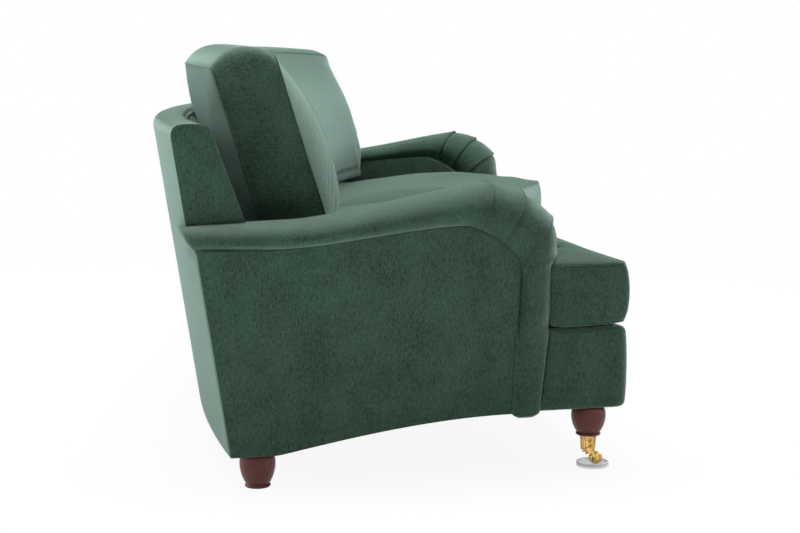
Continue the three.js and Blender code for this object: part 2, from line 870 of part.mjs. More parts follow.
function makeFrontBorder() {
  const section = [
    [borderThickness, frontBottomHeight],
    [borderFootRadius, frontBottomHeight],
    [0, frontBottomHeight + borderFootRadius],
    ...topRound(borderTopRadius, roundSteps).map(([depth, drop]) => [depth, borderTopHeight - drop]),
    [borderThickness, borderTopHeight],
  ];
  const outer = borderPath(frontRadius, borderInset, borderCornerRadius);
  const inner = borderPath(frontRadius + borderThickness, borderInset + borderThickness, borderInnerRadius);
  const drawn = endPoint(borderInset, earRearReach).sub(endPoint(borderInset, earRearReach - earFootDraw));
  const rings = outer.map((point, i) => section.map(([depth, height]) => {
    const flat = point.clone().lerp(inner[i], depth / borderThickness);
    const low = (borderTopHeight - height) / (borderTopHeight - frontBottomHeight);
    if (i === 0) flat.addScaledVector(drawn, -low);
    if (i === outer.length - 1) flat.addScaledVector(mirrorPoint(drawn), -low);
    return new THREE.Vector3(flat.x, flat.y, height);
  }));
  return loft(rings);
}

const deckBottom = railTopHeight + seatedGap + webbingThickness + coverGap;

function makeDeck() {
  const frontOfDeck = frontRadius + borderThickness + deckBorderGap;
  const rearOfDeck = postRearFootRadius - backPostDepth - deckBorderGap;
  const ear = [endPoint(deckInset, earRearReach), endPoint(deckEarInset, earRearReach)];
  return planSolid(new THREE.Shape([
    ...ear,
    ...arcRow(frontOfDeck, deckEarInset),
    ...ear.map(mirrorPoint).reverse(),
    ...arcRow(rearOfDeck, deckInset).reverse(),
  ]), deckBottom, borderTopHeight);
}

// Frame

const frontRailInner = frontRadius + frontRailSetback + railThickness;
const rearRailInner = arcRadius - rearRailSetback - railThickness;
const sideRailFace = sideRailInset + sideRailThickness;

function makeSideRail() {
  const rearReach = reachAt(rearRailInner, sideRailInset) + coverGap;
  const frontReach = reachAt(frontRadius + frontRailSetback, sideRailFace);
  const shape = new THREE.Shape();
  shape.moveTo(rearReach, rearBottomHeight);
  addSideBottom(shape, panelFrontReach);
  shape.lineTo(frontReach, frontBottomHeight);
  shape.lineTo(frontReach, railTopHeight);
  shape.lineTo(rearReach, railTopHeight);
  return armPlate(shape, sideRailInset, sideRailThickness);
}

function makeFrontRail() {
  const outer = frontRadius + frontRailSetback;
  const section = rectangleSection(outer, frontRailInner, frontBottomHeight, railTopHeight);
  return arcBar(section, sideRailFace + seatedGap);
}

function makeRearRail() {
  const outer = arcRadius - rearRailSetback;
  const section = rectangleSection(rearRailInner, outer, rearBottomHeight, railTopHeight);
  return arcBar(section, panelThickness + coverGap);
}

const armPostBackReach = panelFrontReach - armPostSetback - armPostDepth;

function makeArmPost() {
  const foot = railTopHeight + seatedGap;
  const frontReach = armPostBackReach + armPostDepth;
  const shape = new THREE.Shape();
  shape.moveTo(armPostBackReach, foot);
  shape.lineTo(frontReach, foot);
  seamBetween(armPostBackReach, frontReach).reverse().forEach((point) => {
    shape.lineTo(point.x, point.y - armRailDrop);
  });
  return armPlate(shape, sideRailInset, armRailWidth);
}

const backPostInset = backEndInset + backFacingThickness + coverGap;
const postTop = backTopHeight - backCapThickness - coverGap;
const postRearFootRadius = rearRailInner - coverGap;
const postRearTopRadius = outerBackRadius(postTop) - outsideBackThickness - coverGap;
const postFootReach = reachAt(postRearFootRadius, backPostInset);
const postTopReach = reachAt(postRearTopRadius, backPostInset);

/** Share of a post's lean at a height: none at the seat rails, all at its top. */
function postLeanShare(height) {
  return Math.max(0, (height - railTopHeight) / (postTop - railTopHeight));
}

/** Side outline of a back post, which leans back above the seat rails, grown by a margin. */
function backPostShape(margin) {
  const front = postFootReach + backPostDepth;
  return new THREE.Shape([
    at(postFootReach - margin, rearBottomHeight),
    at(front + margin, rearBottomHeight),
    at(front + margin, railTopHeight),
    at(postTopReach + backPostTopDepth + margin, postTop),
    at(postTopReach - margin, postTop),
    at(postFootReach - margin, railTopHeight),
  ]);
}

function postRearRadius(height) {
  return along(postRearFootRadius, postRearTopRadius, postLeanShare(height));
}

function postDepth(height) {
  return along(backPostDepth, backPostTopDepth, postLeanShare(height));
}

/** Plate across the arc at its middle, drawn in radius and height. */
function middlePlate(shape, thickness) {
  const flat = new THREE.ExtrudeGeometry(shape, { depth: thickness, bevelEnabled: false });
  return carried(flat, (x, y, z) => new THREE.Vector3(z - thickness / 2, x, y));
}

function makeCentrePost() {
  const top = postTop - backRailHeight - coverGap;
  const shape = new THREE.Shape([
    at(postRearFootRadius - backPostDepth, rearBottomHeight),
    at(postRearFootRadius, rearBottomHeight),
    at(postRearFootRadius, railTopHeight),
    at(postRearRadius(top), top),
    at(postRearRadius(top) - postDepth(top), top),
    at(postRearFootRadius - backPostDepth, railTopHeight),
  ]);
  return middlePlate(shape, backPostWidth);
}

function makeArmRail() {
  const under = armRailDrop + armRailThickness;
  const lean = postLeanShare(seamHeight - under);
  const postFront = along(
    postFootReach + backPostDepth,
    postTopReach + backPostTopDepth,
    lean,
  );
  const top = seamBetween(postFront + coverGap, armPostBackReach - coverGap);
  const upper = top.map((point) => at(point.x, point.y - armRailDrop));
  const lower = top.map((point) => at(point.x, point.y - under)).reverse();
  return armPlate(new THREE.Shape([...upper, ...lower]), sideRailInset, armRailWidth);
}

/** Front face of the timber behind the back pad, with room for the webbing. */
function timberFrontRadius(height) {
  return innerBackRadius(height) + backPadThickness + backWebSpace;
}

function makeBackTopRail() {
  const bottom = postTop - backRailHeight;
  const rear = (height) => outerBackRadius(height) - outsideBackThickness - 2 * coverGap;
  const section = [
    [timberFrontRadius(bottom), bottom],
    [rear(bottom), bottom],
    [rear(postTop), postTop],
    [timberFrontRadius(postTop), postTop],
  ];
  return arcBar(section, backPostInset + backPostWidth + coverGap);
}

function makeLowerBackRail() {
  const bottom = railTopHeight + lowerBackRailLift;
  const top = bottom + lowerBackRailHeight;
  const rear = (height) => postRearRadius(height) - postDepth(height) - coverGap;
  const section = [
    [timberFrontRadius(bottom), bottom],
    [rear(bottom), bottom],
    [rear(top), top],
    [timberFrontRadius(top), top],
  ];
  return arcBar(section, insideArmFace - armRailThickness);
}

function makeStretcher(angleShare) {
  const inner = frontRailInner + coverGap;
  const outer = rearRailInner - coverGap - (angleShare === 0 ? backPostDepth + coverGap : 0);
  const bottom = frontBottomHeight + stretcherLift;
  const centre = new THREE.Vector3(0, (inner + outer) / 2, bottom + stretcherHeight / 2);
  const board = block(stretcherWidth, outer - inner, stretcherHeight, centre);
  board.rotateZ(angleShare * angleAt(inner, sideRailFace));
  return board;
}

function makeCornerBlock() {
  const frontReach = reachAt(frontRailInner, sideRailFace + cornerBlockLeg) - coverGap;
  const inset = sideRailFace + seatedGap;
  const top = railTopHeight - cornerBlockDrop;
  const shape = new THREE.Shape([
    at(inset, -frontReach),
    at(inset + cornerBlockLeg, -frontReach),
    at(inset, -frontReach + cornerBlockLeg),
  ]);
  return planSolid(shape, top - cornerBlockHeight, top);
}

// Webbing and dust cover

function makeSeatWebbing() {
  const bottom = railTopHeight + seatedGap;
  const inner = frontRailInner - railThickness / 2;
  const outer = arcRadius - rearRailSetback - railThickness / 2;
  const end = angleAt(outer, deckInset + webbingWidth);
  const centre = new THREE.Vector3(0, (inner + outer) / 2, bottom + webbingThickness / 2);
  const webs = Array.from({ length: seatWebCount }, (_, i) => {
    const web = block(webbingWidth, outer - inner, webbingThickness, centre);
    web.rotateZ(end * ((2 * i) / (seatWebCount - 1) - 1));
    return web;
  });
  const bands = Array.from({ length: seatBandCount }, (_, i) => {
    const radius = armOriginDepth - firstSeatBandReach - seatBandPitch * i;
    const top = bottom + webbingThickness;
    return arcBar(rectangleSection(radius - webbingWidth, radius, bottom, top), seatBandInset);
  });
  return join(webs[0], ...webs.slice(1), ...bands);
}

/** Vertical webs behind the back pad, held together by one web along the arc. */
function makeBackWebbing() {
  const bottom = railTopHeight + lowerBackRailLift;
  const top = postTop - backWebRelief;
  const front = (height) => innerBackRadius(height) + backPadThickness + backWebRelief;
  const bandTop = bottom + backWebLift + webbingWidth;
  const bandBottom = bottom + backWebLift;
  const band = arcBar([
    [front(bandBottom), bandBottom],
    [front(bandBottom) + webbingThickness, bandBottom],
    [front(bandTop) + webbingThickness, bandTop],
    [front(bandTop), bandTop],
  ], insideArmFace);
  const shape = new THREE.Shape([
    at(front(bottom), bottom),
    at(front(bottom) + webbingThickness, bottom),
    at(front(top) + webbingThickness, top),
    at(front(top), top),
  ]);
  const end = angleAt(front(top), insideArmFace + webbingWidth);
  const webs = Array.from({ length: backWebCount }, (_, i) => {
    const web = middlePlate(shape, webbingWidth);
    web.rotateZ(end * ((2 * i) / (backWebCount - 1) - 1));
    return web;
  });
  return join(band, ...webs);
}

function makeDustCover() {
  const inner = frontRailInner + coverGap;
  const outer = rearRailInner - backPostDepth - 2 * coverGap;
  const lower = Array.from({ length: dustCoverSteps + 1 }, (_, i) => {
    const radius = along(outer, inner, i / dustCoverSteps);
    const reach = along(0, panelFrontReach, i / dustCoverSteps);
    return [radius, sideBottomAt(reach) + dustCoverLift];
  });
  const upper = lower.map(([radius, height]) => [radius, height + dustCoverThickness]).reverse();
  return arcBar([...lower, ...upper], backPostInset + backPostWidth + coverGap);
}

// Cushions

/** Distance from a plan point to the nearest stretch of a closed outline. */
function distanceToOutline(point, outline) {
  let nearest = Infinity;
  outline.forEach((start, i) => {
    const edge = outline[(i + 1) % outline.length].clone().sub(start);
    const along = THREE.MathUtils.clamp(point.clone().sub(start).dot(edge) / edge.lengthSq(), 0, 1);
    nearest = Math.min(nearest, point.distanceTo(start.clone().addScaledVector(edge, along)));
  });
  return nearest;
}

/** A crown that rises steeply at the edge and levels out at its full reach. */
function crownShare(distance, reach) {
  const share = Math.min(distance / reach, 1);
  return Math.sqrt(1 - (1 - share) ** 2);
}

/**
 * A boxed cushion. The grid holds the plan points of its panels, in rows; missing cells are null.
 * Its boxing swells by a share that depends on the place along its edge, and place carries a
 * panel point and a height above the panel's middle plane to where they lie.
 */
function boxedCushion(grid, panelHeights, rings, swellShare, place) {
  const rows = grid.length;
  const columns = grid[0].length;
  const has = (i, j) => i >= 0 && j >= 0 && i < rows && j < columns && grid[i][j] !== null;
  const cellAt = (i, j) => has(i, j) && has(i + 1, j) && has(i, j + 1) && has(i + 1, j + 1);
  const edges = new Map();
  for (let i = 0; i + 1 < rows; i += 1) {
    for (let j = 0; j + 1 < columns; j += 1) {
      if (cellAt(i, j)) {
        if (!cellAt(i - 1, j)) edges.set(`${i},${j}`, [i, j + 1]);
        if (!cellAt(i, j + 1)) edges.set(`${i},${j + 1}`, [i + 1, j + 1]);
        if (!cellAt(i + 1, j)) edges.set(`${i + 1},${j + 1}`, [i + 1, j]);
        if (!cellAt(i, j - 1)) edges.set(`${i + 1},${j}`, [i, j]);
      }
    }
  }
  const loop = [];
  let spot = [0, 0];
  do {
    loop.push(spot);
    spot = edges.get(spot.join(','));
  } while (spot[0] !== 0 || spot[1] !== 0);
  const outline = loop.map(([i, j]) => grid[i][j]);
  const outward = outline.map((point, i) => {
    const before = outline[(i + outline.length - 1) % outline.length];
    const after = outline[(i + 1) % outline.length];
    const arrive = point.clone().sub(before).normalize();
    const leave = after.clone().sub(point).normalize();
    const mean = arrive.add(leave).normalize();
    return new THREE.Vector2(mean.y, -mean.x);
  });
  const spin = Math.sign(THREE.ShapeUtils.area(outline));
  const points = [];
  const triangles = [];
  const number = (point) => points.push(point) - 1;
  const panels = panelHeights.map((heightOf) => {
    const numbers = grid.map((row) => row.map((point) => {
      if (point === null) return -1;
      const distance = distanceToOutline(point, outline);
      return distance < edgeTolerance ? -1 : number(place(point, heightOf(point, distance)));
    }));
    return numbers;
  });
  const hoops = rings.map(({ out, swell, height }) => outline.map((point, i) => {
    const moved = point.clone().addScaledVector(outward[i], spin * (out + swell * swellShare(point)));
    return number(place(moved, height));
  }));
  const onPanel = (side, i, j) => {
    const inner = panels[side][i][j];
    if (inner >= 0) return inner;
    const edge = loop.findIndex(([li, lj]) => li === i && lj === j);
    return side === 0 ? hoops[0][edge] : hoops[hoops.length - 1][edge];
  };
  for (let side = 0; side < 2; side += 1) {
    for (let i = 0; i + 1 < rows; i += 1) {
      for (let j = 0; j + 1 < columns; j += 1) {
        if (cellAt(i, j)) {
          const [a, b] = [onPanel(side, i, j), onPanel(side, i, j + 1)];
          const [c, d] = [onPanel(side, i + 1, j + 1), onPanel(side, i + 1, j)];
          if (side === 0) triangles.push([a, b, c], [a, c, d]);
          else triangles.push([a, c, b], [a, d, c]);
        }
      }
    }
  }
  for (let k = 0; k + 1 < hoops.length; k += 1) {
    outline.forEach((_, i) => {
      const next = (i + 1) % outline.length;
      const [a, b] = [hoops[k][i], hoops[k][next]];
      const [c, d] = [hoops[k + 1][next], hoops[k + 1][i]];
      triangles.push([a, c, b], [a, d, c]);
    });
  }
  return solid(points, triangles);
}

/** Rings of a cushion's boxing from its top welt down to its bottom welt. */
function boxingRings(top, bottom, bulge) {
  const half = cushionWelt / 2;
  return [
    { out: 0, swell: 0, height: top + half },
    { out: weltStandOut, swell: 0, height: top },
    { out: 0, swell: 0, height: top - half },
    ...boxingShares.map(([share, swell]) => ({ out: 0, swell: bulge * swell, height: along(top, bottom, share) })),
    { out: 0, swell: 0, height: bottom + half },
    { out: weltStandOut, swell: 0, height: bottom },
    { out: 0, swell: 0, height: bottom - half },
  ];
}

const seatCushionBottom = borderTopHeight + seatedGap;

function makeSeatCushion() {
  const front = frontRadius + seatFrontSetback;
  const rear = innerBackRadius(borderTopHeight) - seatRearGap;
  const earRadius = Math.hypot(armOriginDepth - seatEarRearReach, armOriginSide - seatCushionInset);
  const bodyPoint = (radius, share, frontShare) => {
    const inner = Math.asin(cushionGap / 2 / radius);
    const outer = angleAt(radius, seatCushionInset);
    const drawn = frontShare === 1 ? seatSideDraw * Math.sin(share * Math.PI) : 0;
    return arcPoint(radius + drawn, along(inner, outer, share));
  };
  const earPoint = (frontShare, share) => {
    const inset = along(seatCushionInset, seatEarInset, share);
    return endPoint(inset, along(seatEarRearReach, reachAt(front, inset), frontShare));
  };
  const bodyRows = seatDepthShares.map((depthShare) => [
    ...seatWidthShares.map((share) => bodyPoint(along(rear, earRadius, depthShare), share, 0)),
    ...seatEarWidthShares.map(() => null),
  ]);
  const earRows = seatEarDepthShares.map((frontShare) => [
    ...seatWidthShares.map((share) => bodyPoint(along(earRadius, front, frontShare), share, frontShare)),
    ...seatEarWidthShares.map((share) => earPoint(frontShare, share)),
  ]);
  const topOf = (point, distance) => {
    const ahead = rear - point.length() - seatTuckDepth;
    const opened = THREE.MathUtils.smoothstep(ahead, 0, seatTuckBlend);
    const crown = along(seatTuckCrown, seatCrown, opened);
    return seatEdgeHeight + cushionWelt / 2 + crown * crownShare(distance, seatCrownReach);
  };
  return boxedCushion(
    [...bodyRows, ...earRows],
    [topOf, () => seatCushionBottom],
    boxingRings(seatEdgeHeight, seatCushionBottom + cushionWelt / 2, seatBoxingBulge),
    (point) => {
      const ahead = 1 - THREE.MathUtils.smoothstep(point.length(), front, front + seatSwellBlend);
      const aside = THREE.MathUtils.smoothstep(Math.abs(point.x), 0, seatSwellBlend);
      return along(seatSideSwellShare, 1, ahead * aside);
    },
    (point, height) => new THREE.Vector3(point.x, point.y, height),
  );
}

function makeBackCushion() {
  const foot = seatEdgeHeight + backCushionLift;
  const height = backCushionEdgeTop - foot;
  const midRadius = armOriginDepth - backCushionFootReach;
  const spanAt = (radius) => [Math.asin(cushionGap / 2 / radius), angleAt(radius, backCushionInset)];
  const [innerAngle, outerAngle] = spanAt(midRadius);
  const width = (outerAngle - innerAngle) * midRadius;
  const panelPoint = (u, v) => {
    const side = backSideDraw * Math.sin(v * Math.PI);
    const arch = backTopArch * Math.sin(u * Math.PI);
    const point = new THREE.Vector2(along(side, width - side, u), v * (height + arch));
    const onSide = u === 0 || u === 1;
    const onEnd = v === 0 || v === 1;
    if (onSide && onEnd) point.x += u === 0 ? backCornerDraw : -backCornerDraw;
    if (onSide && v === 1) point.y -= backCornerDraw;
    return point;
  };
  const grid = backHeightShares.map((v) => backWidthShares.map((u) => panelPoint(u, v)));
  const half = backCushionThickness / 2;
  const frontOf = (point, distance) => half + backFrontCrown * crownShare(distance, height / 2);
  const rearOf = (point, distance) => -half - backRearCrown * crownShare(distance, height / 2);
  return boxedCushion(
    grid,
    [frontOf, rearOf],
    boxingRings(half, -half, backBoxingBulge),
    (point) => {
      const raised = THREE.MathUtils.smoothstep(point.y, height - backSwellBlend, height);
      const aside = THREE.MathUtils.smoothstep(point.x, 0, backSwellBlend);
      return along(backSideSwellShare, 1, raised * aside);
    },
    (point, forward) => {
      const up = point.y;
      const radius = midRadius + backCushionLeanShare * up - forward;
      const [inner, outer] = spanAt(radius);
      const flat = arcPoint(radius, THREE.MathUtils.mapLinear(point.x, 0, width, inner, outer));
      const lift = backCushionTiltShare * forward;
      return new THREE.Vector3(flat.x, flat.y, foot + up + lift);
    },
  );
}

// Feet and casters

const frontLegTop = frontBottomHeight - seatedGap;

/** Side of a turned bun foot between its rim and its neck. */
function bunProfile(bottom, height) {
  return bunShares.map(([out, up]) => {
    const base = up < bunRimShare ? footRimRadius : footNeckRadius;
    return [along(base, footRadius, out), bottom + height * up];
  });
}

function makeBunFoot() {
  const height = rearBottomHeight - seatedGap;
  return turned([[0, 0], ...bunProfile(0, height), [0, height]], turnedSides);
}

function makeFrontLeg() {
  const bottom = frontLegTop - bunHeight;
  const profile = [
    [0, bottom - spigotLength],
    [spigotRadius, bottom - spigotLength],
    [spigotRadius, bottom],
    ...bunProfile(bottom, bunHeight),
    [0, frontLegTop],
  ];
  return turned(profile, turnedSides);
}

function makeSupportLeg() {
  const foot = supportLegFootWidth / 2;
  const top = supportLegTopWidth / 2;
  const ring = (half, height) => [[-half, -half], [half, -half], [half, half], [-half, half]]
    .map(([x, y]) => new THREE.Vector3(x, y, height));
  const leg = loft([ring(foot, 0), ring(top, frontLegTop)]);
  return shiftedBy(leg, 0, frontRailInner - railThickness / 2, 0);
}

const socketTop = frontLegTop - bunHeight - seatedGap;
const socketBottom = socketTop - socketHeight;

function makeSocket() {
  const sides = socketFluteCount * 2;
  const ring = (radius, height, flute) => Array.from({ length: sides }, (_, i) => {
    const angle = (i / sides) * 2 * Math.PI;
    const reach = radius - (i % 2 === 1 ? flute : 0);
    return new THREE.Vector3(reach * Math.cos(angle), reach * Math.sin(angle), height);
  });
  const shell = loft([
    ring(socketFootRadius, socketBottom, 0),
    ring(socketFootRadius, socketBottom + socketRimHeight / 2, 0),
    ring(socketFootRadius, socketBottom + socketRimHeight, socketFluteDepth),
    ring(socketTopRadius, socketTop - socketRimHeight - socketRimHeight / 2, socketFluteDepth),
    ring(socketRimRadius, socketTop - socketRimHeight, 0),
    ring(socketRimRadius, socketTop, 0),
  ]);
  const bore = turned([
    [0, socketBottom + socketFloor],
    [spigotRadius + seatedGap, socketBottom + socketFloor],
    [spigotRadius + seatedGap, socketTop + cutOverrun],
    [0, socketTop + cutOverrun],
  ], turnedSides);
  const stemBore = turned([
    [0, socketBottom - cutOverrun],
    [swivelStemRadius + seatedGap, socketBottom - cutOverrun],
    [swivelStemRadius + seatedGap, socketBottom + swivelStemLength + coverGap],
    [0, socketBottom + swivelStemLength + coverGap],
  ], smallSides);
  return cut(shell, bore, stemBore);
}

const wheelCentreHeight = cupFloor + seatedGap + wheelRadius;
const crownTop = socketBottom - swivelGap;
const cheekInset = wheelWidth / 2 + hubStandOut + forkSideGap;

/** Cylinder along X about the wheel's axis. */
function axleCylinder(radius, fromX, toX, sides) {
  const rod = new THREE.CylinderGeometry(radius, radius, toX - fromX, sides);
  return carried(rod, (x, y, z) => (
    new THREE.Vector3(y + (fromX + toX) / 2, x - casterTrail, z + wheelCentreHeight)
  ));
}

function makeWheel() {
  const half = wheelWidth / 2;
  const hub = half + hubStandOut;
  const profile = [
    [axleRadius + seatedGap, -hub],
    [hubRadius, -hub],
    [hubRadius, -half],
    [wheelRadius - wheelRimBevel, -half],
    [wheelRadius, -half + wheelRimBevel],
    [wheelRadius, half - wheelRimBevel],
    [wheelRadius - wheelRimBevel, half],
    [hubRadius, half],
    [hubRadius, hub],
    [axleRadius + seatedGap, hub],
    [axleRadius + seatedGap, -hub],
  ];
  const outline = profile.map(([radius, side]) => new THREE.Vector2(radius, side));
  const lathe = new THREE.LatheGeometry(outline, turnedSides);
  return carried(lathe, (x, y, z) => new THREE.Vector3(y, x - casterTrail, z + wheelCentreHeight));
}

function makeAxle() {
  const outer = cheekInset + forkCheekThickness;
  const pinEnd = outer + axleHeadThickness / 2;
  const pin = axleCylinder(axleRadius, -pinEnd, pinEnd, smallSides);
  const heads = [-1, 1].map((side) => {
    const near = side * (outer + seatedGap);
    const far = side * (outer + seatedGap + axleHeadThickness);
    return axleCylinder(axleHeadRadius, Math.min(near, far), Math.max(near, far), smallSides);
  });
  return join(pin, ...heads);
}

/** Side of a fork cheek: a curved neck from the heel behind the pivot to the eye round the axle. */
function forkCheekShape(top) {
  const eyeFront = -casterTrail - forkCheekRadius;
  const eyeRear = -casterTrail + forkCheekRadius;
  const heelFoot = top - forkHeelDrop;
  const shape = new THREE.Shape();
  shape.moveTo(forkHeelReach, top);
  shape.lineTo(along(forkHeelReach, eyeFront, forkNeckShares[0]), top);
  shape.bezierCurveTo(
    along(forkHeelReach, eyeFront, forkNeckShares[1]),
    top,
    eyeFront,
    along(top, wheelCentreHeight, forkNeckShares[0]),
    eyeFront,
    wheelCentreHeight,
  );
  shape.absarc(-casterTrail, wheelCentreHeight, forkCheekRadius, Math.PI, 2 * Math.PI, false);
  shape.bezierCurveTo(
    eyeRear,
    along(wheelCentreHeight, heelFoot, forkThroatShares[0]),
    along(eyeRear, forkHeelReach, forkThroatShares[0]),
    heelFoot,
    along(eyeRear, forkHeelReach, forkThroatShares[1]),
    heelFoot,
  );
  shape.lineTo(forkHeelReach, heelFoot);
  return shape;
}

function makeFork() {
  const crownBottom = crownTop - forkCrownThickness;
  const crownFront = wheelRadius - casterTrail + seatedGap;
  const crown = block(
    2 * (cheekInset + forkCheekThickness),
    forkHeelReach - crownFront,
    forkCrownThickness,
    new THREE.Vector3(0, (forkHeelReach + crownFront) / 2, crownTop - forkCrownThickness / 2),
  );
  const cheeks = [-1, 1].map((side) => {
    const flat = new THREE.ExtrudeGeometry(forkCheekShape(crownTop - forkCrownThickness / 2), {
      depth: forkCheekThickness,
      bevelEnabled: false,
      curveSegments: cheekCurveSteps,
    });
    const near = side > 0 ? cheekInset : -cheekInset - forkCheekThickness;
    return carried(flat, (x, y, z) => new THREE.Vector3(near + z, x, y));
  });
  const stem = turned([
    [0, crownBottom],
    [swivelStemRadius, crownBottom],
    [swivelStemRadius, socketBottom + swivelStemLength],
    [0, socketBottom + swivelStemLength],
  ], smallSides);
  const outer = cheekInset + forkCheekThickness + cutOverrun;
  const axleBore = axleCylinder(axleRadius + seatedGap, -outer, outer, smallSides);
  return cut(join(crown, ...cheeks, stem), axleBore);
}

function makeCup() {
  const inner = cupRadius - cupWall;
  const profile = [
    [0, 0],
    [cupRadius, 0],
    [cupRadius, cupHeight - cupLip],
    [cupRadius - cupLip, cupHeight],
    [inner, cupHeight],
    [inner - cupLip, cupFloor],
    [0, cupFloor],
  ];
  return shiftedBy(turned(profile, turnedSides + smallSides), 0, -cupShift, 0);
}

// Assembly

const postEnvelope = armPlate(
  backPostShape(coverGap),
  backPostInset - coverGap,
  backPostWidth + 2 * coverGap,
);

addMesh(sofa, 'front_rail', makeFrontRail(), 'hardwood');
addMesh(sofa, 'rear_rail', makeRearRail(), 'hardwood');
addAtArms('side_rail', makeSideRail(), 'hardwood');
addAtArms('arm_post', makeArmPost(), 'hardwood');
addAtArms('arm_top_rail', makeArmRail(), 'hardwood');
addAtArms('back_post', armPlate(backPostShape(0), backPostInset, backPostWidth), 'hardwood');
addMesh(sofa, 'back_post_centre', makeCentrePost(), 'hardwood');
addMesh(sofa, 'back_top_rail', makeBackTopRail(), 'hardwood');
addMesh(sofa, 'lower_back_rail', makeLowerBackRail(), 'hardwood');
addMesh(sofa, 'seat_stretcher_centre', makeStretcher(0), 'hardwood');
addAtHalves('seat_stretcher', makeStretcher(stretcherAngleShare), 'hardwood');
addAtArms('corner_block', makeCornerBlock(), 'hardwood');
addMesh(sofa, 'seat_webbing', makeSeatWebbing(), 'webbing');
addMesh(sofa, 'back_webbing', makeBackWebbing(), 'webbing');
addMesh(sofa, 'dust_cover', makeDustCover(), 'cambric');

addMesh(sofa, 'outside_back', makeOutsideBack(), 'velvet');
addMesh(sofa, 'inside_back', makeInsideBack(), 'velvet');
addAtArms('back_facing', makeBackFacing(), 'velvetDark');
addAtArms('outside_arm', makeOutsideArm(), 'velvetDark');
addAtArms('inside_arm', makeInsideArm(), 'velvet');
addAtArms('arm_roll', makeArmRoll(postEnvelope), 'velvet');
addMesh(sofa, 'front_border', makeFrontBorder(), 'velvet');
addMesh(sofa, 'deck_pad', makeDeck(), 'velvetDark');
addAtHalves('seat_cushion', makeSeatCushion(), 'velvet');
addAtHalves('back_cushion', makeBackCushion(), 'velvet');

addAtArms('rear_foot', shiftedBy(makeBunFoot(), footInset, -rearFootReach, 0), 'mahogany');
addMesh(sofa, 'rear_foot_centre', shiftedBy(makeBunFoot(), 0, arcRadius - centreFootSetback, 0), 'mahogany');
addMesh(sofa, 'front_foot_centre', makeSupportLeg(), 'mahogany');
addAtArms('front_leg', shiftedBy(makeFrontLeg(), footInset, -frontLegReach, 0), 'mahogany');
addAtArms('caster_socket', shiftedBy(makeSocket(), footInset, -frontLegReach, 0), 'brass');
addAtArms('caster_fork', shiftedBy(makeFork(), footInset, -frontLegReach, 0), 'brass');
addAtArms('caster_wheel', shiftedBy(makeWheel(), footInset, -frontLegReach, 0), 'brass');
addAtArms('caster_axle', shiftedBy(makeAxle(), footInset, -frontLegReach, 0), 'brass');
addAtArms('caster_cup', shiftedBy(makeCup(), footInset, -frontLegReach, 0), 'clearPlastic');

// The origin is below the middle of the whole sofa, on the floor

sofa.updateMatrixWorld(true);
const whole = new THREE.Box3().setFromObject(sofa, true);
sofa.position.y = -(whole.min.y + whole.max.y) / 2;

export default sofa;
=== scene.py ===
"""A curved English roll arm sofa in green velvet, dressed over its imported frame.

Metres, +Z up. The front faces -Y and the left end lies at -X, as in the frame.
In an arm's own frame, inset runs inward from its outer panel and reach runs
forward from that panel's rear corner. On the back, radius is the distance from
the centre of the arc that the sofa follows in plan.
"""

import math

import bpy
import numpy as np
from bpy.props import FloatProperty, FloatVectorProperty, IntProperty, PointerProperty
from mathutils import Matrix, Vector


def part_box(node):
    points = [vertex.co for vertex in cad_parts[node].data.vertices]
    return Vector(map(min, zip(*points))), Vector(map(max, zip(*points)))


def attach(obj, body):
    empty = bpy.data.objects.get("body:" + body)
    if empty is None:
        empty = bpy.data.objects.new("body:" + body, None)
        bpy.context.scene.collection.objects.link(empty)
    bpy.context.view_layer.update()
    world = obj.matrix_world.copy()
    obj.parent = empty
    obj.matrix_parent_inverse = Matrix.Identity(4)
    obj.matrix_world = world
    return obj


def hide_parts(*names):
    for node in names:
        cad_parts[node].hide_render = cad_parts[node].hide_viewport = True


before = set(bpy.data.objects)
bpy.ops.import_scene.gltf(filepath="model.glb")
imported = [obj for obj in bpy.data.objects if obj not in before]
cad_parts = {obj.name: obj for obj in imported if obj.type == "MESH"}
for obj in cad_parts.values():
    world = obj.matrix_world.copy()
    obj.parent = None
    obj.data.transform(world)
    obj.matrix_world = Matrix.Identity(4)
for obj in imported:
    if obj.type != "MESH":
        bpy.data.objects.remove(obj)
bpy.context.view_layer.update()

bl_info = {
    "name": "Curved roll arm sofa",
    "version": (1, 0, 0),
    "blender": (4, 5, 0),
    "location": "3D View > Sidebar > Roll arm sofa",
    "description": "Dresses the packed frame of a curved roll arm sofa in velvet, wood and brass",
    "category": "Add Mesh",
}

ENDS = ((-1, "left"), (1, "right"))


# Plan and routes of the covered body, in metres

ARC_RADIUS = 4.677
ARM_TURN = math.radians(13.5)
REAR_CORNER_SIDE = 1.352
CORNER_ANGLE = math.asin(REAR_CORNER_SIDE / ARC_RADIUS)
ORIGIN_DEPTH = ARC_RADIUS * math.cos(CORNER_ANGLE - ARM_TURN)
ORIGIN_SIDE = ARC_RADIUS * math.sin(CORNER_ANGLE - ARM_TURN)
BORDER_REACH, BORDER_INSET, BORDER_THICKNESS = 0.876, 0.008, 0.024
FRONT_RADIUS = math.hypot(ORIGIN_DEPTH - BORDER_REACH, ORIGIN_SIDE - BORDER_INSET)
REAR_BOTTOM, FRONT_BOTTOM = 0.072, 0.134
SEAM_HEIGHT = 0.503
SWELL_SEAM = 0.542
NOSE_SEAM = 0.451
PANEL_FRONT, PANEL_FOOT = 0.621, 0.608
ROLL_TOP, NOSE_REACH, NOSE_HEIGHT = 0.626, 0.722, 0.512
FACING_TOP, FACING_STEP = 0.455, 0.322
BACK_TOP = 0.757
BORDER_TOP = 0.313
INNER_ARM_INSET, INNER_ARM_FRONT = 0.181, 0.612
LOWER_BACK_INSET, INNER_BACK_INSET, UPPER_BACK_INSET = 0.0146, 0.1822, 0.0846
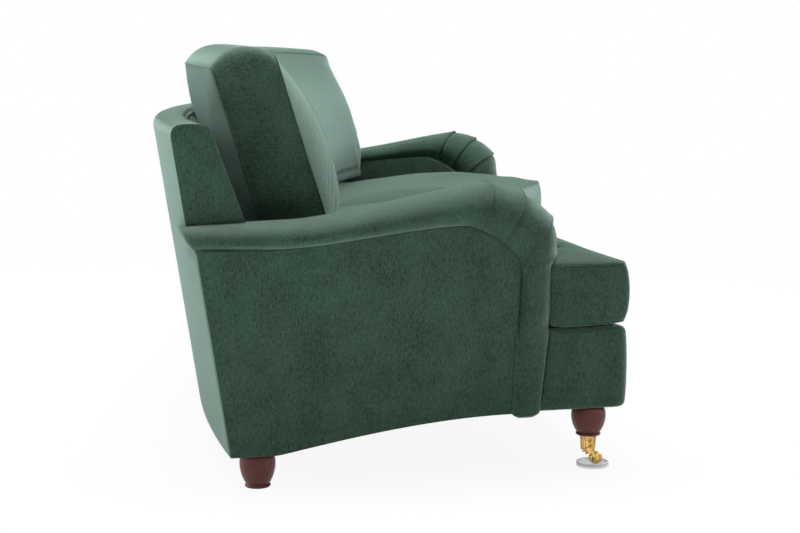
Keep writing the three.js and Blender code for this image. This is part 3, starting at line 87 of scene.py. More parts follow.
OUTER_SLOPE, INNER_SLOPE, BACK_THICKNESS = 0.15, 0.207, 0.078
SMALL_GAP = 0.0006


def outer_back_radius(height):
    """Radius of the outer face of the back at a height."""
    return ARC_RADIUS + OUTER_SLOPE * (height - REAR_BOTTOM)


def inner_back_radius(height):
    """Radius of the inner face of the back at a height."""
    return outer_back_radius(height) - BACK_THICKNESS - INNER_SLOPE * (BACK_TOP - height)


BACK_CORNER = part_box("outside_back")[1]
CENTRE_Y = BACK_CORNER.y - outer_back_radius(BACK_CORNER.z)


def angle_at(radius, inset):
    """Angle from the middle of the sofa to an inset line, on a circle of this radius."""
    return ARM_TURN + np.arcsin((ORIGIN_SIDE - inset) / radius)


def reach_at(radius, inset):
    """Reach at which a circle about the arc's centre crosses an inset line."""
    return ORIGIN_DEPTH - np.sqrt(radius**2 - (ORIGIN_SIDE - inset) ** 2)


def on_arc(radius, angle, height):
    """Points on the left half for positive angles, as an array of x, y, z."""
    radius, angle, height = np.broadcast_arrays(radius, angle, height)
    return np.stack([-radius * np.sin(angle), CENTRE_Y + radius * np.cos(angle), height], axis=-1)


def on_arm(points, side=-1):
    """Points given as inset, reach and height in an arm's frame; side -1 is the left arm."""
    points = np.asarray(points, float)
    across = points[..., 0] - ORIGIN_SIDE
    depth = ORIGIN_DEPTH - points[..., 1]
    x = across * math.cos(ARM_TURN) - depth * math.sin(ARM_TURN)
    y = across * math.sin(ARM_TURN) + depth * math.cos(ARM_TURN)
    return np.stack([-side * x, y + CENTRE_Y, points[..., 2]], axis=-1)


def arm_points(inset, reach, height, side=-1):
    """Points of an arm's frame whose insets, reaches and heights are given apart, as x, y, z."""
    return on_arm(np.stack(np.broadcast_arrays(inset, reach, height), axis=-1), side)


def straight(start, end):
    """A stretch of a route along a line, as a function of its share."""
    start, end = np.array(start), np.array(end)
    return lambda t: start + (end - start) * t


def bezier(*handles):
    """A stretch of a route along a curve, as a function of its share."""
    a, b, c, d = (np.array(h) for h in handles)
    return lambda t: a * (1 - t) ** 3 + 3 * b * (1 - t) ** 2 * t + 3 * c * (1 - t) * t**2 + d * t**3


def rear_reach(height):
    """Reach of the outside panel's rear edge, which leans with the back."""
    return -OUTER_SLOPE * (height - REAR_BOTTOM)


def panel_front(height):
    """Reach of the outside panel's front edge, which draws back towards its foot."""
    return np.interp(height, [FRONT_BOTTOM, NOSE_SEAM], [PANEL_FOOT, PANEL_FRONT])


SEAM_ROUTE = [
    straight((rear_reach(SEAM_HEIGHT), SEAM_HEIGHT), (0.107, SEAM_HEIGHT)),
    bezier((0.107, SEAM_HEIGHT), (0.21844, SEAM_HEIGHT), (0.40152, SWELL_SEAM), (0.505, SWELL_SEAM)),
    bezier((0.505, SWELL_SEAM), (0.54, SWELL_SEAM), (PANEL_FRONT, 0.487), (PANEL_FRONT, NOSE_SEAM)),
    straight((PANEL_FRONT, NOSE_SEAM), (panel_front(0.427), 0.427)),
    straight((panel_front(0.427), 0.427), (panel_front(FACING_STEP), FACING_STEP)),
]
CROWN_ROUTE = [
    straight((rear_reach(SEAM_HEIGHT) - 0.02, 0.549), (0.13, 0.556)),
    bezier((0.13, 0.556), (0.25, 0.556), (0.49, ROLL_TOP), (0.57, ROLL_TOP)),
    bezier((0.57, ROLL_TOP), (0.622, ROLL_TOP), (NOSE_REACH, 0.58), (NOSE_REACH, NOSE_HEIGHT)),
    bezier((NOSE_REACH, NOSE_HEIGHT), (NOSE_REACH, 0.4835), (0.7204, 0.4636), (0.718, FACING_TOP)),
    straight((0.718, FACING_TOP), (0.709, FACING_STEP)),
]
HALF_WIDTHS = [0.084, 0.101, 0.101, 0.101, 0.091, 0.091]
PLEATS = [2.2, 2.52, 2.83, 3.5]
CROWN_PACE = ([0, 1, 2.2, 3, 4, 5], [0, 1, 2, 3, 4, 5])
ROLL_CENTRE, ROLL_MARGIN, ROLL_STEPS = 0.085, 0.022, 44


def along_route(route, place):
    """Point of a route at a place, which counts whole stretches."""
    stretch = min(int(place), len(route) - 1)
    return route[stretch](place - stretch)


def crown_point(place):
    """Crown of the roll at a place along its seam, which the crown falls behind at the first pleat."""
    return along_route(CROWN_ROUTE, np.interp(place, *CROWN_PACE))


def half_width_at(place):
    """Half of the roll's width at a place along its seam."""
    return float(np.interp(place, range(len(HALF_WIDTHS)), HALF_WIDTHS))


def side_bottom(reach):
    """Bottom edge of the side, which climbs from the rear foot to the front."""
    share = np.clip((reach - 0.1) / (PANEL_FRONT - 0.1), 0, 1)
    return REAR_BOTTOM + (FRONT_BOTTOM - REAR_BOTTOM) * np.sin(share * math.pi / 2)


def seam_height(reach):
    """Height of the seam under the roll at a reach."""
    places = np.linspace(1, 3, 161)
    points = np.array([along_route(SEAM_ROUTE, place) for place in places])
    return np.interp(reach, points[:, 0], points[:, 1])


# Sizes and colours that a user may change


def length(name, description, default, low, high):
    """A property that holds a length in metres."""
    return FloatProperty(
        name=name, description=description, default=default, min=low, max=high, unit="LENGTH")


def colour(name, description, default):
    """A property that holds a colour."""
    return FloatVectorProperty(
        name=name, description=description, default=default, subtype="COLOR", min=0, max=1)


class SofaSizes(bpy.types.PropertyGroup):
    """Sizes of the upholstery and of its finish."""

    pleat_lift: length(
        "Pleat lift", "How far the cloth stands up behind each pleat of the arm", 0.005, 0, 0.01)
    pleat_sink: length(
        "Pleat sink", "How far the cloth lies lower in front of each pleat", 0.0045, 0, 0.01)
    pleat_run: length("Pleat run", "Distance over which a pleat levels out", 0.02, 0.005, 0.05)
    pleat_edge: length(
        "Pleat edge", "Half the thickness of the stitched edge of a pleat", 0.0012, 0.0005, 0.004)
    piping_radius: length(
        "Piping radius", "Half the thickness of the piping in the seams", 0.0024, 0.001, 0.006)
    panel_padding: length(
        "Panel padding", "How far the padded panels swell in their middle", 0.003, 0, 0.01)
    cushion_voxel: length(
        "Cushion mesh size", "Mesh size in which the cushions are filled", 0.0075, 0.005, 0.02)
    cushion_pressure: FloatProperty(
        name="Cushion filling", description="Pressure with which the cushions are filled",
        default=4.0, min=0, max=20)
    seat_swell: length(
        "Seat swell", "Furthest that filling moves the cloth of a seat cushion", 0.008, 0, 0.03)
    back_swell: length(
        "Back swell", "Furthest that filling moves the cloth of a back cushion", 0.01, 0, 0.03)
    turned_sides: IntProperty(
        name="Turned steps", description="Steps of a full turn in the feet", default=64, min=24, max=128)


class SofaColours(bpy.types.PropertyGroup):
    """Colours of the sofa's finishes."""

    velvet_deep: colour("Velvet, deep", "Velvet where its pile takes the light in", (0.014, 0.035, 0.022))
    velvet_light: colour("Velvet, light", "Velvet where its pile lies over", (0.050, 0.096, 0.068))
    velvet_sheen: colour("Velvet sheen", "Colour of the velvet along its edges", (0.62, 0.86, 0.76))
    mahogany_deep: colour("Mahogany, deep", "Dark grain of the feet", (0.085, 0.022, 0.017))
    mahogany_light: colour("Mahogany, light", "Light grain of the feet", (0.12, 0.034, 0.027))
    brass: colour("Brass", "Polished brass of the casters", (0.85, 0.58, 0.17))
    hardwood: colour("Hardwood", "Bare timber inside the sofa", (0.52, 0.34, 0.18))
    webbing: colour("Webbing", "Jute webbing under the seat and in the back", (0.4, 0.27, 0.13))
    cambric: colour("Dust cover", "Thin black cloth under the seat", (0.012, 0.012, 0.013))
    cup: colour("Cup", "Clear plastic of the caster cups", (0.80, 0.79, 0.84))


def sizes():
    return bpy.context.scene.sofa_sizes


def colours():
    return bpy.context.scene.sofa_colours


# Work on meshes


def fresh():
    """Object mode with nothing selected."""
    if bpy.context.mode != "OBJECT":
        bpy.ops.object.mode_set(mode="OBJECT")
    bpy.ops.object.select_all(action="DESELECT")


def pick(piece):
    """Makes a piece the only selected and active one."""
    fresh()
    piece.select_set(True)
    bpy.context.view_layer.objects.active = piece


def edit_all(piece, *steps):
    """Runs edit-mode steps on a whole piece."""
    pick(piece)
    bpy.ops.object.mode_set(mode="EDIT")
    bpy.ops.mesh.select_all(action="SELECT")
    for step in steps:
        step()
    bpy.ops.object.mode_set(mode="OBJECT")


def recalculate():
    bpy.ops.mesh.normals_make_consistent(inside=False)


def merge_close():
    bpy.ops.mesh.remove_doubles(threshold=0.00001)


def fill_open_edges():
    bpy.ops.mesh.select_all(action="DESELECT")
    bpy.ops.mesh.select_non_manifold()
    bpy.ops.mesh.fill_holes(sides=0)
    bpy.ops.mesh.select_all(action="SELECT")


def coordinates(piece):
    co = np.zeros(len(piece.data.vertices) * 3)
    piece.data.vertices.foreach_get("co", co)
    return co.reshape(-1, 3)


def set_coordinates(piece, points):
    piece.data.vertices.foreach_set("co", np.asarray(points, np.float64).ravel())
    piece.data.update()


def apply_modifier(piece, kind, **settings):
    """Adds a modifier with these settings and applies it."""
    pick(piece)
    modifier = piece.modifiers.new(kind.title(), kind)
    for key, value in settings.items():
        setattr(modifier, key, value)
    bpy.ops.object.modifier_apply(modifier=modifier.name)


def smooth(piece, angle=40):
    pick(piece)
    bpy.ops.object.shade_smooth_by_angle(angle=math.radians(angle))


def lofted(name, rings, loop=False, angle=40):
    """A skin through rows of points. Each row closes on itself; loop also joins the last to the first."""
    rings = [np.asarray(ring) for ring in rings]
    if loop:
        rings.append(rings[0])
    table = np.array([np.vstack([ring, ring[:1]]) for ring in rings])
    rows, columns = table.shape[:2]
    fresh()
    bpy.ops.mesh.primitive_grid_add(x_subdivisions=columns - 1, y_subdivisions=rows - 1, size=1)
    piece = bpy.context.object
    piece.name = piece.data.name = name
    spots = coordinates(piece)
    column = np.rint((spots[:, 0] + 0.5) * (columns - 1)).astype(int)
    row = np.rint((spots[:, 1] + 0.5) * (rows - 1)).astype(int)
    set_coordinates(piece, table[row, column])
    steps = [merge_close]
    if not loop:
        steps.append(fill_open_edges)
    edit_all(piece, *steps, recalculate)
    smooth(piece, angle)
    return piece


def tube(name, path, radius, up, loop=False, sides=10):
    """A round cord along a path. up is a direction that the path never follows."""
    path = np.asarray(path, float)
    up = np.broadcast_to(np.asarray(up, float), path.shape)
    if loop:
        tangent = np.roll(path, -1, axis=0) - np.roll(path, 1, axis=0)
    else:
        tangent = np.gradient(path, axis=0)
    tangent /= np.linalg.norm(tangent, axis=1, keepdims=True)
    first = np.cross(tangent, up)
    first /= np.linalg.norm(first, axis=1, keepdims=True)
    second = np.cross(first, tangent)
    angles = np.arange(sides) / sides * 2 * math.pi
    cosines, sines = np.cos(angles)[None, :, None], np.sin(angles)[None, :, None]
    ring = cosines * first[:, None, :] + sines * second[:, None, :]
    rings = list(path[:, None, :] + radius * ring)
    if not loop:
        rings.insert(0, path[:1] - tangent[:1] * radius * 0.7 + 0.5 * radius * ring[0])
        rings.append(path[-1:] + tangent[-1:] * radius * 0.7 + 0.5 * radius * ring[-1])
    return lofted(name, rings, loop=loop, angle=60)


def distance_along(path):
    """How far each point of a path is from its start, along it."""
    return np.concatenate([[0], np.cumsum(np.linalg.norm(np.diff(path, axis=0), axis=1))])


def resampled(path, step, loop=False):
    """The same path with points an even step apart."""
    path = np.asarray(path, float)
    if loop:
        path = np.vstack([path, path[:1]])
    along = distance_along(path)
    count = max(4, int(round(along[-1] / step)))
    places = np.linspace(0, along[-1], count + 1)
    if loop:
        places = places[:-1]
    return np.stack([np.interp(places, along, path[:, k]) for k in range(3)], axis=1)


def softened(path, passes, loop=True):
    """The path with each point drawn to the mean of its neighbours."""
    path = np.asarray(path, float).copy()
    for _ in range(passes):
        mean = (np.roll(path, 1, axis=0) + 2 * path + np.roll(path, -1, axis=0)) / 4
        if loop:
            path = mean
        else:
            path[1:-1] = mean[1:-1]
    return path


def node_copy(name, node, bevel=0.0, segments=2):
    """A rounded copy of a frame node, to be covered in cloth."""
    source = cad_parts[node]
    fresh()
    piece = bpy.data.objects.new(name, source.data.copy())
    bpy.context.scene.collection.objects.link(piece)
    edit_all(piece, merge_close, lambda: bpy.ops.mesh.tris_convert_to_quads(), recalculate)
    if bevel:
        apply_modifier(piece, "BEVEL", width=bevel, segments=segments, limit_method="ANGLE")
    smooth(piece)
    return piece


def mirrored_copy(piece, name):
    """The same piece at the other end, with its own mesh."""
    pick(piece)
    bpy.ops.object.duplicate()
    other = bpy.context.object
    other.name = other.data.name = name
    points = coordinates(other)
    points[:, 0] *= -1
    set_coordinates(other, points)
    edit_all(other, recalculate)
    return other


def finish_piece(piece, material, slot, *nodes, fill=None):
    """Gives a piece its material and hides the frame nodes that it stands for. All new pieces ride on the
    sofa's body.
    """
    piece.data.materials.clear()
    piece.data.materials.append(material)
    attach(piece, "sofa")
    if nodes:
        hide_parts(*nodes)


def in_velvet(piece, *nodes, fill=None):
    """Finishes a piece in the sofa's velvet."""
    finish_piece(piece, velvet(), "velvet", *nodes, fill=fill)


# Materials


NAPS_PER_METRE, PORES_PER_METRE = 900, 700
BRASS_MARKS_PER_METRE, HAZE_PER_METRE = 160, 220


def made_once(store):
    """Keeps a function from making an item twice: the item's name is the function's first value."""
    def decorate(make):
        def get_or_make(name, *values):
            return getattr(bpy.data, store).get(name) or make(name, *values)
        return get_or_make
    return decorate


def add_node(tree, kind, inputs=None, **settings):
    """Adds a shader node. An input that is given a socket is linked to it, and any other is set."""
    node = tree.nodes.new(f"ShaderNode{kind}")
    for key, value in settings.items():
        setattr(node, key, value)
    for key, value in (inputs or {}).items():
        if isinstance(value, bpy.types.NodeSocket):
            tree.links.new(value, node.inputs[key])
        else:
            node.inputs[key].default_value = value
    return node


def noise(tree, vector, scale, **values):
    """Noise over a pattern, as a socket."""
    return add_node(tree, "TexNoise", {"Vector": vector, "Scale": scale, **values}).outputs["Fac"]


def calculated(tree, operation, first, second):
    """An operation on two values or sockets, as a socket."""
    return add_node(tree, "Math", {0: first, 1: second}, operation=operation).outputs[0]


def map_range(tree, value, from_low, from_high, to_low=0, to_high=1):
    """A value carried from one span to another, as a socket."""
    spans = {"From Min": from_low, "From Max": from_high, "To Min": to_low, "To Max": to_high}
    return add_node(tree, "MapRange", {"Value": value, **spans}).outputs["Result"]


def start_group(name, inputs, outputs):
    """A new node group: its tree, the sockets that it is given and those that it puts out."""
    tree = bpy.data.node_groups.new(name, "ShaderNodeTree")
    for label, value in inputs.items():
        kind = "NodeSocketFloat" if isinstance(value, float) else "NodeSocketVector"
        socket = tree.interface.new_socket(label, in_out="INPUT", socket_type=kind)
        if value is not None:
            socket.default_value = value
    for label in outputs:
        tree.interface.new_socket(label, in_out="OUTPUT", socket_type="NodeSocketFloat")
    return tree, tree.nodes.new("NodeGroupInput").outputs, tree.nodes.new("NodeGroupOutput").inputs


@made_once("node_groups")
def pile_group(name):
    """Pile of velvet: Tone varies in streaks along the cloth and in soft patches, Height is the nap."""
    tree, given, out = start_group(name, {
        "Vector": None, "Pile size": 0.0034, "Patch size": 0.07, "Streak share": 0.78,
        "Stretch": (1, 1, 0.45)}, ("Tone", "Height"))
    place = given["Vector"]
    stretched = add_node(tree, "Mapping", {"Vector": place, "Scale": given["Stretch"]}).outputs["Vector"]
    streaks, patches = (calculated(tree, "DIVIDE", 1, given[size]) for size in ("Pile size", "Patch size"))
    streak = noise(tree, stretched, streaks, Detail=4, Roughness=0.7)
    patch = noise(tree, place, patches, Detail=2)
    nap = noise(tree, place, NAPS_PER_METRE, Detail=2)
    tone = add_node(tree, "Mix", {"Factor": given["Streak share"], 2: patch, 3: streak}).outputs[0]
    height = add_node(tree, "Mix", {"Factor": 0.35, 2: streak, 3: nap}).outputs[0]
    tree.links.new(map_range(tree, tone, 0.36, 0.64), out["Tone"])
    tree.links.new(height, out["Height"])
    return tree


@made_once("node_groups")
def grain_group(name):
    """Wood grain that runs up the piece: Grain is its figure, Height its pores."""
    tree, given, out = start_group(name, {"Vector": None, "Grain size": 0.004}, ("Grain", "Height"))
    per_metre = calculated(tree, "DIVIDE", 1, given["Grain size"])
    figure = noise(tree, given["Vector"], per_metre, Detail=5, Distortion=0.6)
    tree.links.new(map_range(tree, figure, 0.3, 0.7), out["Grain"])
    tree.links.new(noise(tree, given["Vector"], PORES_PER_METRE), out["Height"])
    return tree


def start_material(name, values):
    """A new material: the material, its tree, its shader with these values, and its Object coordinates."""
    material = bpy.data.materials.new(name)
    material.use_nodes = True
    tree = material.node_tree
    tree.nodes.clear()
    shader = add_node(tree, "BsdfPrincipled", values)
    add_node(tree, "OutputMaterial", {"Surface": shader.outputs["BSDF"]})
    return material, tree, shader, add_node(tree, "TexCoord").outputs["Object"]


def add_bump(tree, shader, height, strength, distance):
    bump = add_node(tree, "Bump", {"Strength": strength, "Distance": distance, "Height": height})
    tree.links.new(bump.outputs["Normal"], shader.inputs["Normal"])


def two_tone(tree, shader, factor, first, second):
    mix = add_node(tree, "Mix", {"Factor": factor, 6: (*first, 1), 7: (*second, 1)}, data_type="RGBA")
    tree.links.new(mix.outputs[2], shader.inputs["Base Color"])


@made_once("materials")
def pile_cloth(name, stretch):
    """Green velvet: a deep pile that lightens where it is seen along its surface."""
    tint = (*colours().velvet_sheen, 1)
    material, tree, shader, place = start_material(name, {
        "Roughness": 0.85, "Specular IOR Level": 0.15,
        "Sheen Weight": 1, "Sheen Roughness": 0.35, "Sheen Tint": tint})
    values = {"Vector": place, "Stretch": stretch}
    pile = add_node(tree, "Group", values, node_tree=pile_group("Velvet pile"))
    two_tone(tree, shader, pile.outputs["Tone"], colours().velvet_deep, colours().velvet_light)
    add_bump(tree, shader, pile.outputs["Height"], 0.8, 0.0022)
    return material


def velvet():
    """Velvet whose streaks run up the sofa."""
    return pile_cloth("Green velvet", (1, 1, 0.45))


@made_once("materials")
def wood(name, first, second, roughness, coat_weight, direction):
    """Wood whose grain runs along a direction, 0 for x, 1 for y or 2 for z."""
    material, tree, shader, place = start_material(name, {
        "Roughness": roughness, "Specular IOR Level": 0.25,
        "Coat Weight": coat_weight, "Coat Roughness": 0.2})
    scale = [1.0, 1.0, 1.0]
    scale[direction] = 0.12
    along = add_node(tree, "Mapping", {"Vector": place, "Scale": scale}).outputs["Vector"]
    grain = add_node(tree, "Group", {"Vector": along}, node_tree=grain_group("Wood grain"))
    two_tone(tree, shader, grain.outputs["Grain"], first, second)
    add_bump(tree, shader, grain.outputs["Height"], 0.15, 0.0002)
    return material


def mahogany():
    return wood("Polished mahogany", colours().mahogany_deep, colours().mahogany_light, 0.42, 0.08, 2)


@made_once("materials")
def brass(name):
    """Polished brass with handling marks, and painted shade that darkens it where it turns away from the
    view, in place of dark reflections.
    """
    material, tree, shader, place = start_material(name, {"Metallic": 1})
    marks = noise(tree, place, BRASS_MARKS_PER_METRE, Detail=3)
    tree.links.new(map_range(tree, marks, 0, 1, 0.12, 0.3), shader.inputs["Roughness"])
    # Painted shade: the base colour darkens towards the rims as the surface turns away from the view.
    painted_rim_shade = add_node(tree, "LayerWeight", {"Blend": 0.72}).outputs["Facing"]
    # The dark brass colour comes in both with the handling marks and with the painted shade.
    marks_and_painted_shade = calculated(tree, "MAXIMUM", painted_rim_shade, map_range(tree, marks, 0.5, 0.6, 0, 0.8))
    warm = colours().brass
    two_tone(tree, shader, marks_and_painted_shade, warm, (0.2 * warm[0], 0.11 * warm[1], 0.08 * warm[2]))
    return material


@made_once("materials")
def clear_plastic(name):
    """Clear plastic of the cups, faintly hazed underfoot."""
    material, tree, shader, place = start_material(name, {
        "Base Color": (*colours().cup, 1), "Transmission Weight": 0.6, "IOR": 1.46})
    haze = noise(tree, place, HAZE_PER_METRE)
    tree.links.new(map_range(tree, haze, 0, 1, 0.05, 0.16), shader.inputs["Roughness"])
    return material


@made_once("materials")
def woven(name, tone, thread, roughness):
    """Plain woven cloth with threads of this width."""
    material, tree, shader, place = start_material(name, {"Roughness": roughness})
    values = {"Vector": place, "Scale": 0.05 / thread, "Distortion": 0.4}
    warp, weft = (add_node(tree, "TexWave", values, bands_direction=axis).outputs["Fac"] for axis in "XY")
    cross = calculated(tree, "MULTIPLY", warp, weft)
    two_tone(tree, shader, cross, [0.6 * c for c in tone], tone)
    add_bump(tree, shader, cross, 0.4, 0.0006)
    return material


# Arms


def roll_stations():
    """Places along the roll, closer together at each pleat, with how far the cloth lifts there."""
    places = np.linspace(0, 5, 2001)
    crown = np.array([crown_point(place) for place in places])
    along = distance_along(crown)
    pleats = np.interp(PLEATS, places, along)
    near = np.array([-0.03, -0.022, -0.015, -0.009, -0.005, -0.0025, -0.0012, -0.0004])
    near_pleats = [pleat + way * near for way in (1, -1) for pleat in pleats]
    stops = np.concatenate([np.arange(0, along[-1], 0.012), [along[-1]], *near_pleats])
    stops = np.unique(np.round(np.clip(stops, 0, along[-1]), 5))
    lift = np.zeros(len(stops))
    run = sizes().pleat_run
    for pleat in pleats:
        ahead = stops - pleat
        behind = ahead < 0
        lift[behind] += sizes().pleat_lift * np.exp(ahead[behind] / run)
        lift[~behind] -= sizes().pleat_sink * np.exp(-ahead[~behind] / (0.6 * run))
    return np.interp(stops, along, places), lift


def roll_ring(seam, crown, half_width, centre, margin, lift):
    """One ring of the roll: an arc from the outer seam over the crown to the inner seam, and its chord."""
    start = math.acos(1 - margin / half_width)
    low = math.sin(start)
    angles = np.linspace(-start, math.pi + start, ROLL_STEPS + 1)
    rise = (np.sin(angles) + low) / (1 + low)
    points = np.stack([
        centre - half_width * np.cos(angles),
        seam[0] + (crown[0] - seam[0]) * rise,
        seam[1] + (crown[1] - seam[1]) * rise,
    ], axis=1)
    outward = points - points.mean(axis=0)
    outward /= np.linalg.norm(outward, axis=1, keepdims=True)
    weight = 0.55 + 0.45 * np.clip(np.sin(angles), 0, 1)
    points += outward * (lift * weight)[:, None]
    chord = np.linspace(points[-1], points[0], 9)[1:-1]
    return np.vstack([points, chord])


def ring_at(place, lift):
    """The roll's ring at a place along its seam."""
    seam, crown = along_route(SEAM_ROUTE, place), crown_point(place)
    return roll_ring(seam, crown, half_width_at(place), ROLL_CENTRE, ROLL_MARGIN, lift)


def drawn_in(ring, share, shift):
    """A ring drawn towards its middle by a share, and shifted."""
    ring = np.asarray(ring)
    return ring + (ring.mean(axis=0) - ring) * share + np.asarray(shift)


# How far each ring of the roll's rear dome is drawn in, and how far it stands out behind the roll
REAR_DOME = [(0.82, 0.013), (0.6, 0.0128), (0.35, 0.012), (0.17, 0.0098), (0.07, 0.0066), (0.018, 0.0028)]
STRIP_HEIGHTS = (0.308, 0.27, 0.23, 0.19, 0.155, FRONT_BOTTOM, FRONT_BOTTOM - 0.004)
STRIP_HALF_WIDTH, STRIP_MARGIN = 0.0145, 0.0036


def make_arm_roll(side, name):
    """The padded roll of an arm, its pleated nose and the facing below it."""
    rings = [ring_at(place, lift) for place, lift in zip(*roll_stations())]
    rear = [drawn_in(rings[0], share, (0, -dome, 0)) for share, dome in REAR_DOME]
    strip_centre = STRIP_HALF_WIDTH + ROLL_CENTRE - HALF_WIDTHS[-1]
    strips = []
    for height in STRIP_HEIGHTS:
        share = (FACING_STEP - height) / (FACING_STEP - FRONT_BOTTOM)
        seam, front = (panel_front(height), height), (0.691 - 0.02 * share, height)
        strips.append(roll_ring(seam, front, STRIP_HALF_WIDTH, strip_centre, STRIP_MARGIN, 0))
    strips[-1] = drawn_in(strips[-1], 0.1, (0, 0, 0))
    foot = drawn_in(strips[-1], 0.35, (0, 0, -0.005))
    shaped = [on_arm(ring, side) for ring in rear + rings + strips + [foot]]
    piece = lofted(name, shaped, angle=50)
    post = node_copy("post_space", "back_post_left" if side < 0 else "back_post_right")
    apply_modifier(post, "SOLIDIFY", thickness=SMALL_GAP, offset=1, use_even_offset=True)
    apply_modifier(piece, "BOOLEAN", object=post, operation="DIFFERENCE", solver="EXACT")
    bpy.data.objects.remove(post)
    smooth(piece, 50)
    return piece


def seam_path(inset, start, end, down=0.0):
    """Points along the seam under the roll, in the arm's frame."""
    points = np.array([along_route(SEAM_ROUTE, place) for place in np.linspace(start, end, 150)])
    return np.column_stack([np.full(len(points), inset), points[:, 0], points[:, 1] - down])


def arm_axis(side):
    """Direction across an arm, from its outer panel inward."""
    return on_arm([1, 0, 0], side) - on_arm([0, 0, 0], side)


def pleat_edges(side, name):
    """The stitched edges of an arm's pleats, each from the outer seam over the crown to the inner seam."""
    cords = []
    for place in PLEATS:
        seam, crown = along_route(SEAM_ROUTE, place), crown_point(place)
        over_crown = ring_at(place, sizes().pleat_lift)[2:ROLL_STEPS - 1]
        path = resampled(on_arm(over_crown, side), 0.005)
        rise = on_arm([0, *crown], side) - on_arm([0, *seam], side)
        cords.append(tube(name, path, sizes().pleat_edge, np.cross(arm_axis(side), rise), sides=6))
    fresh()
    for cord in cords:
        cord.select_set(True)
    bpy.context.view_layer.objects.active = cords[0]
    bpy.ops.object.join()
    return cords[0]


class MakeArmRolls(bpy.types.Operator):
    """Make the pleated rolls of both arms and the piping under them"""

    bl_idname = "sofa.arm_rolls"
    bl_label = "Arm rolls"

    def execute(self, context):
        under_roll = seam_path(0.0045, 0.0, 3.0, 0.0006)
        heights = np.linspace(0.316, FRONT_BOTTOM + 0.003, 40)
        down_facing = [(0.0012, panel_front(height), height) for height in heights]
        beside_facing = np.vstack([seam_path(0.0012, 2.97, 5.0), down_facing])
        for side, end in ENDS:
            in_velvet(make_arm_roll(side, f"arm_roll_cover_{end}"), f"arm_roll_{end}")
            path = resampled(on_arm(under_roll, side), 0.006)
            in_velvet(tube(f"roll_piping_{end}", path, sizes().piping_radius, arm_axis(side)))
            path = resampled(on_arm(beside_facing, side), 0.005)
            in_velvet(tube(f"facing_seam_{end}", path, 0.0017, arm_axis(side)))
            in_velvet(pleat_edges(side, f"pleat_edges_{end}"))
        return {"FINISHED"}


def padded_wall(name, side, reaches, bottom_of, top_of, lean_of, face, thickness, edge, padding):
    """A padded wall along an arm. Its cloth face is at one inset and its back a thickness away.

    lean_of gives how far a point moves forward for its height and its share of the way to the rear.
    """
    rings = []
    first, last = reaches[0], reaches[-1]
    turn = np.linspace(0, math.pi / 2, 6)
    rise = np.linspace(0, 1, 26)[1:-1]
    back = np.linspace(1, 0, 12)
    for reach in reaches:
        end = min(reach - first, last - reach)
        end_round = edge - math.sqrt(edge**2 - (edge - min(end, edge)) ** 2)
        low, high = float(bottom_of(reach)), float(top_of(reach))
        swell = padding * (1 - (2 * rise - 1) ** 6) * min(1.0, end / 0.05)
        depths = np.concatenate([edge * (1 - np.sin(turn)), -swell, edge * (1 - np.cos(turn))]) + end_round
        depths = np.concatenate([depths, np.full(len(back), abs(thickness))])
        heights = np.concatenate([
            low + edge * (1 - np.cos(turn)),
            low + edge + rise * (high - low - 2 * edge),
            high - edge * (1 - np.sin(turn)),
            low + back * (high - low),
        ])
        share = (last - reach) / (last - first)
        leant = reach + np.array([lean_of(height, share) for height in heights])
        rings.append(arm_points(face + np.sign(thickness) * depths, leant, heights, side))
    return lofted(name, rings, angle=50)


class MakeArmWalls(bpy.types.Operator):
    """Make the outside panels and the padded inside walls of both arms"""

    bl_idname = "sofa.arm_walls"
    bl_label = "Arm walls"

    def execute(self, context):
        foot = BORDER_TOP + SMALL_GAP
        front = PANEL_FRONT - SMALL_GAP

        def rear_of(height):
            return float(reach_at(inner_back_radius(height), INNER_ARM_INSET)) + 0.006

        def outer_lean(height, share):
            return share * rear_reach(height) + (1 - share) ** 6 * (panel_front(height) - PANEL_FRONT)

        def inner_lean(height, share):
            return share * (rear_of(height) - rear)

        rear = rear_of(foot)
        ends = np.array([0, 0.0006, 0.0016, 0.003, 0.005])
        outer_reaches = np.unique(np.concatenate([
            ends, np.linspace(0.01, 0.49, 40), np.linspace(0.5, front, 40)]))
        inner_reaches = np.unique(np.concatenate([
            rear + ends, np.linspace(rear + 0.01, 0.6, 60), INNER_ARM_FRONT - ends]))
        padding = sizes().panel_padding
        for side, end in ENDS:
            outer = padded_wall(
                f"outside_arm_cover_{end}", side, outer_reaches, side_bottom,
                lambda reach: seam_height(reach) - SMALL_GAP, outer_lean, 0.0, 0.014, 0.0022, padding * 0.7)
            in_velvet(outer, f"outside_arm_{end}")
            inner = padded_wall(
                f"inside_arm_cover_{end}", side, inner_reaches, lambda reach: foot,
                lambda reach: seam_height(reach) - SMALL_GAP / 2, inner_lean,
                INNER_ARM_INSET, -0.025, 0.006, padding)
            in_velvet(inner, f"inside_arm_{end}")
        return {"FINISHED"}


# Back


REAR_SHELF, FRONT_SHELF = 0.5495, 0.5545
SHELF_STEP = 0.0025
FRONT_END_FOOT = 0.52
FRONT_WALL, REAR_WALL = 0.03, 0.012
INNER_TOP = BACK_TOP - 0.022
# Points on the hidden side of the cover's section: those in its front wall, then all of them
FRONT_INNER_POINTS, INNER_POINTS = 18, 41


def roll_edge(height, half_width, crown):
    """Inset at which the back meets an arm's roll, at a height between its seam and its crown."""
    low = math.sin(math.acos(1 - ROLL_MARGIN / half_width))
    sine = (height - SEAM_HEIGHT) / (crown - SEAM_HEIGHT) * (1 + low) - low
    return ROLL_CENTRE + half_width * math.sqrt(max(0.0, 1 - max(0.0, sine) ** 2)) + 0.0012


def rear_end(height):
    """Inset of the cover's end on its rear face: outside the arm, round its roll, then above it."""
    if height < SEAM_HEIGHT:
        return LOWER_BACK_INSET
    if height < REAR_SHELF + SHELF_STEP / 2:
        return roll_edge(height, 0.085, REAR_SHELF)
    return UPPER_BACK_INSET


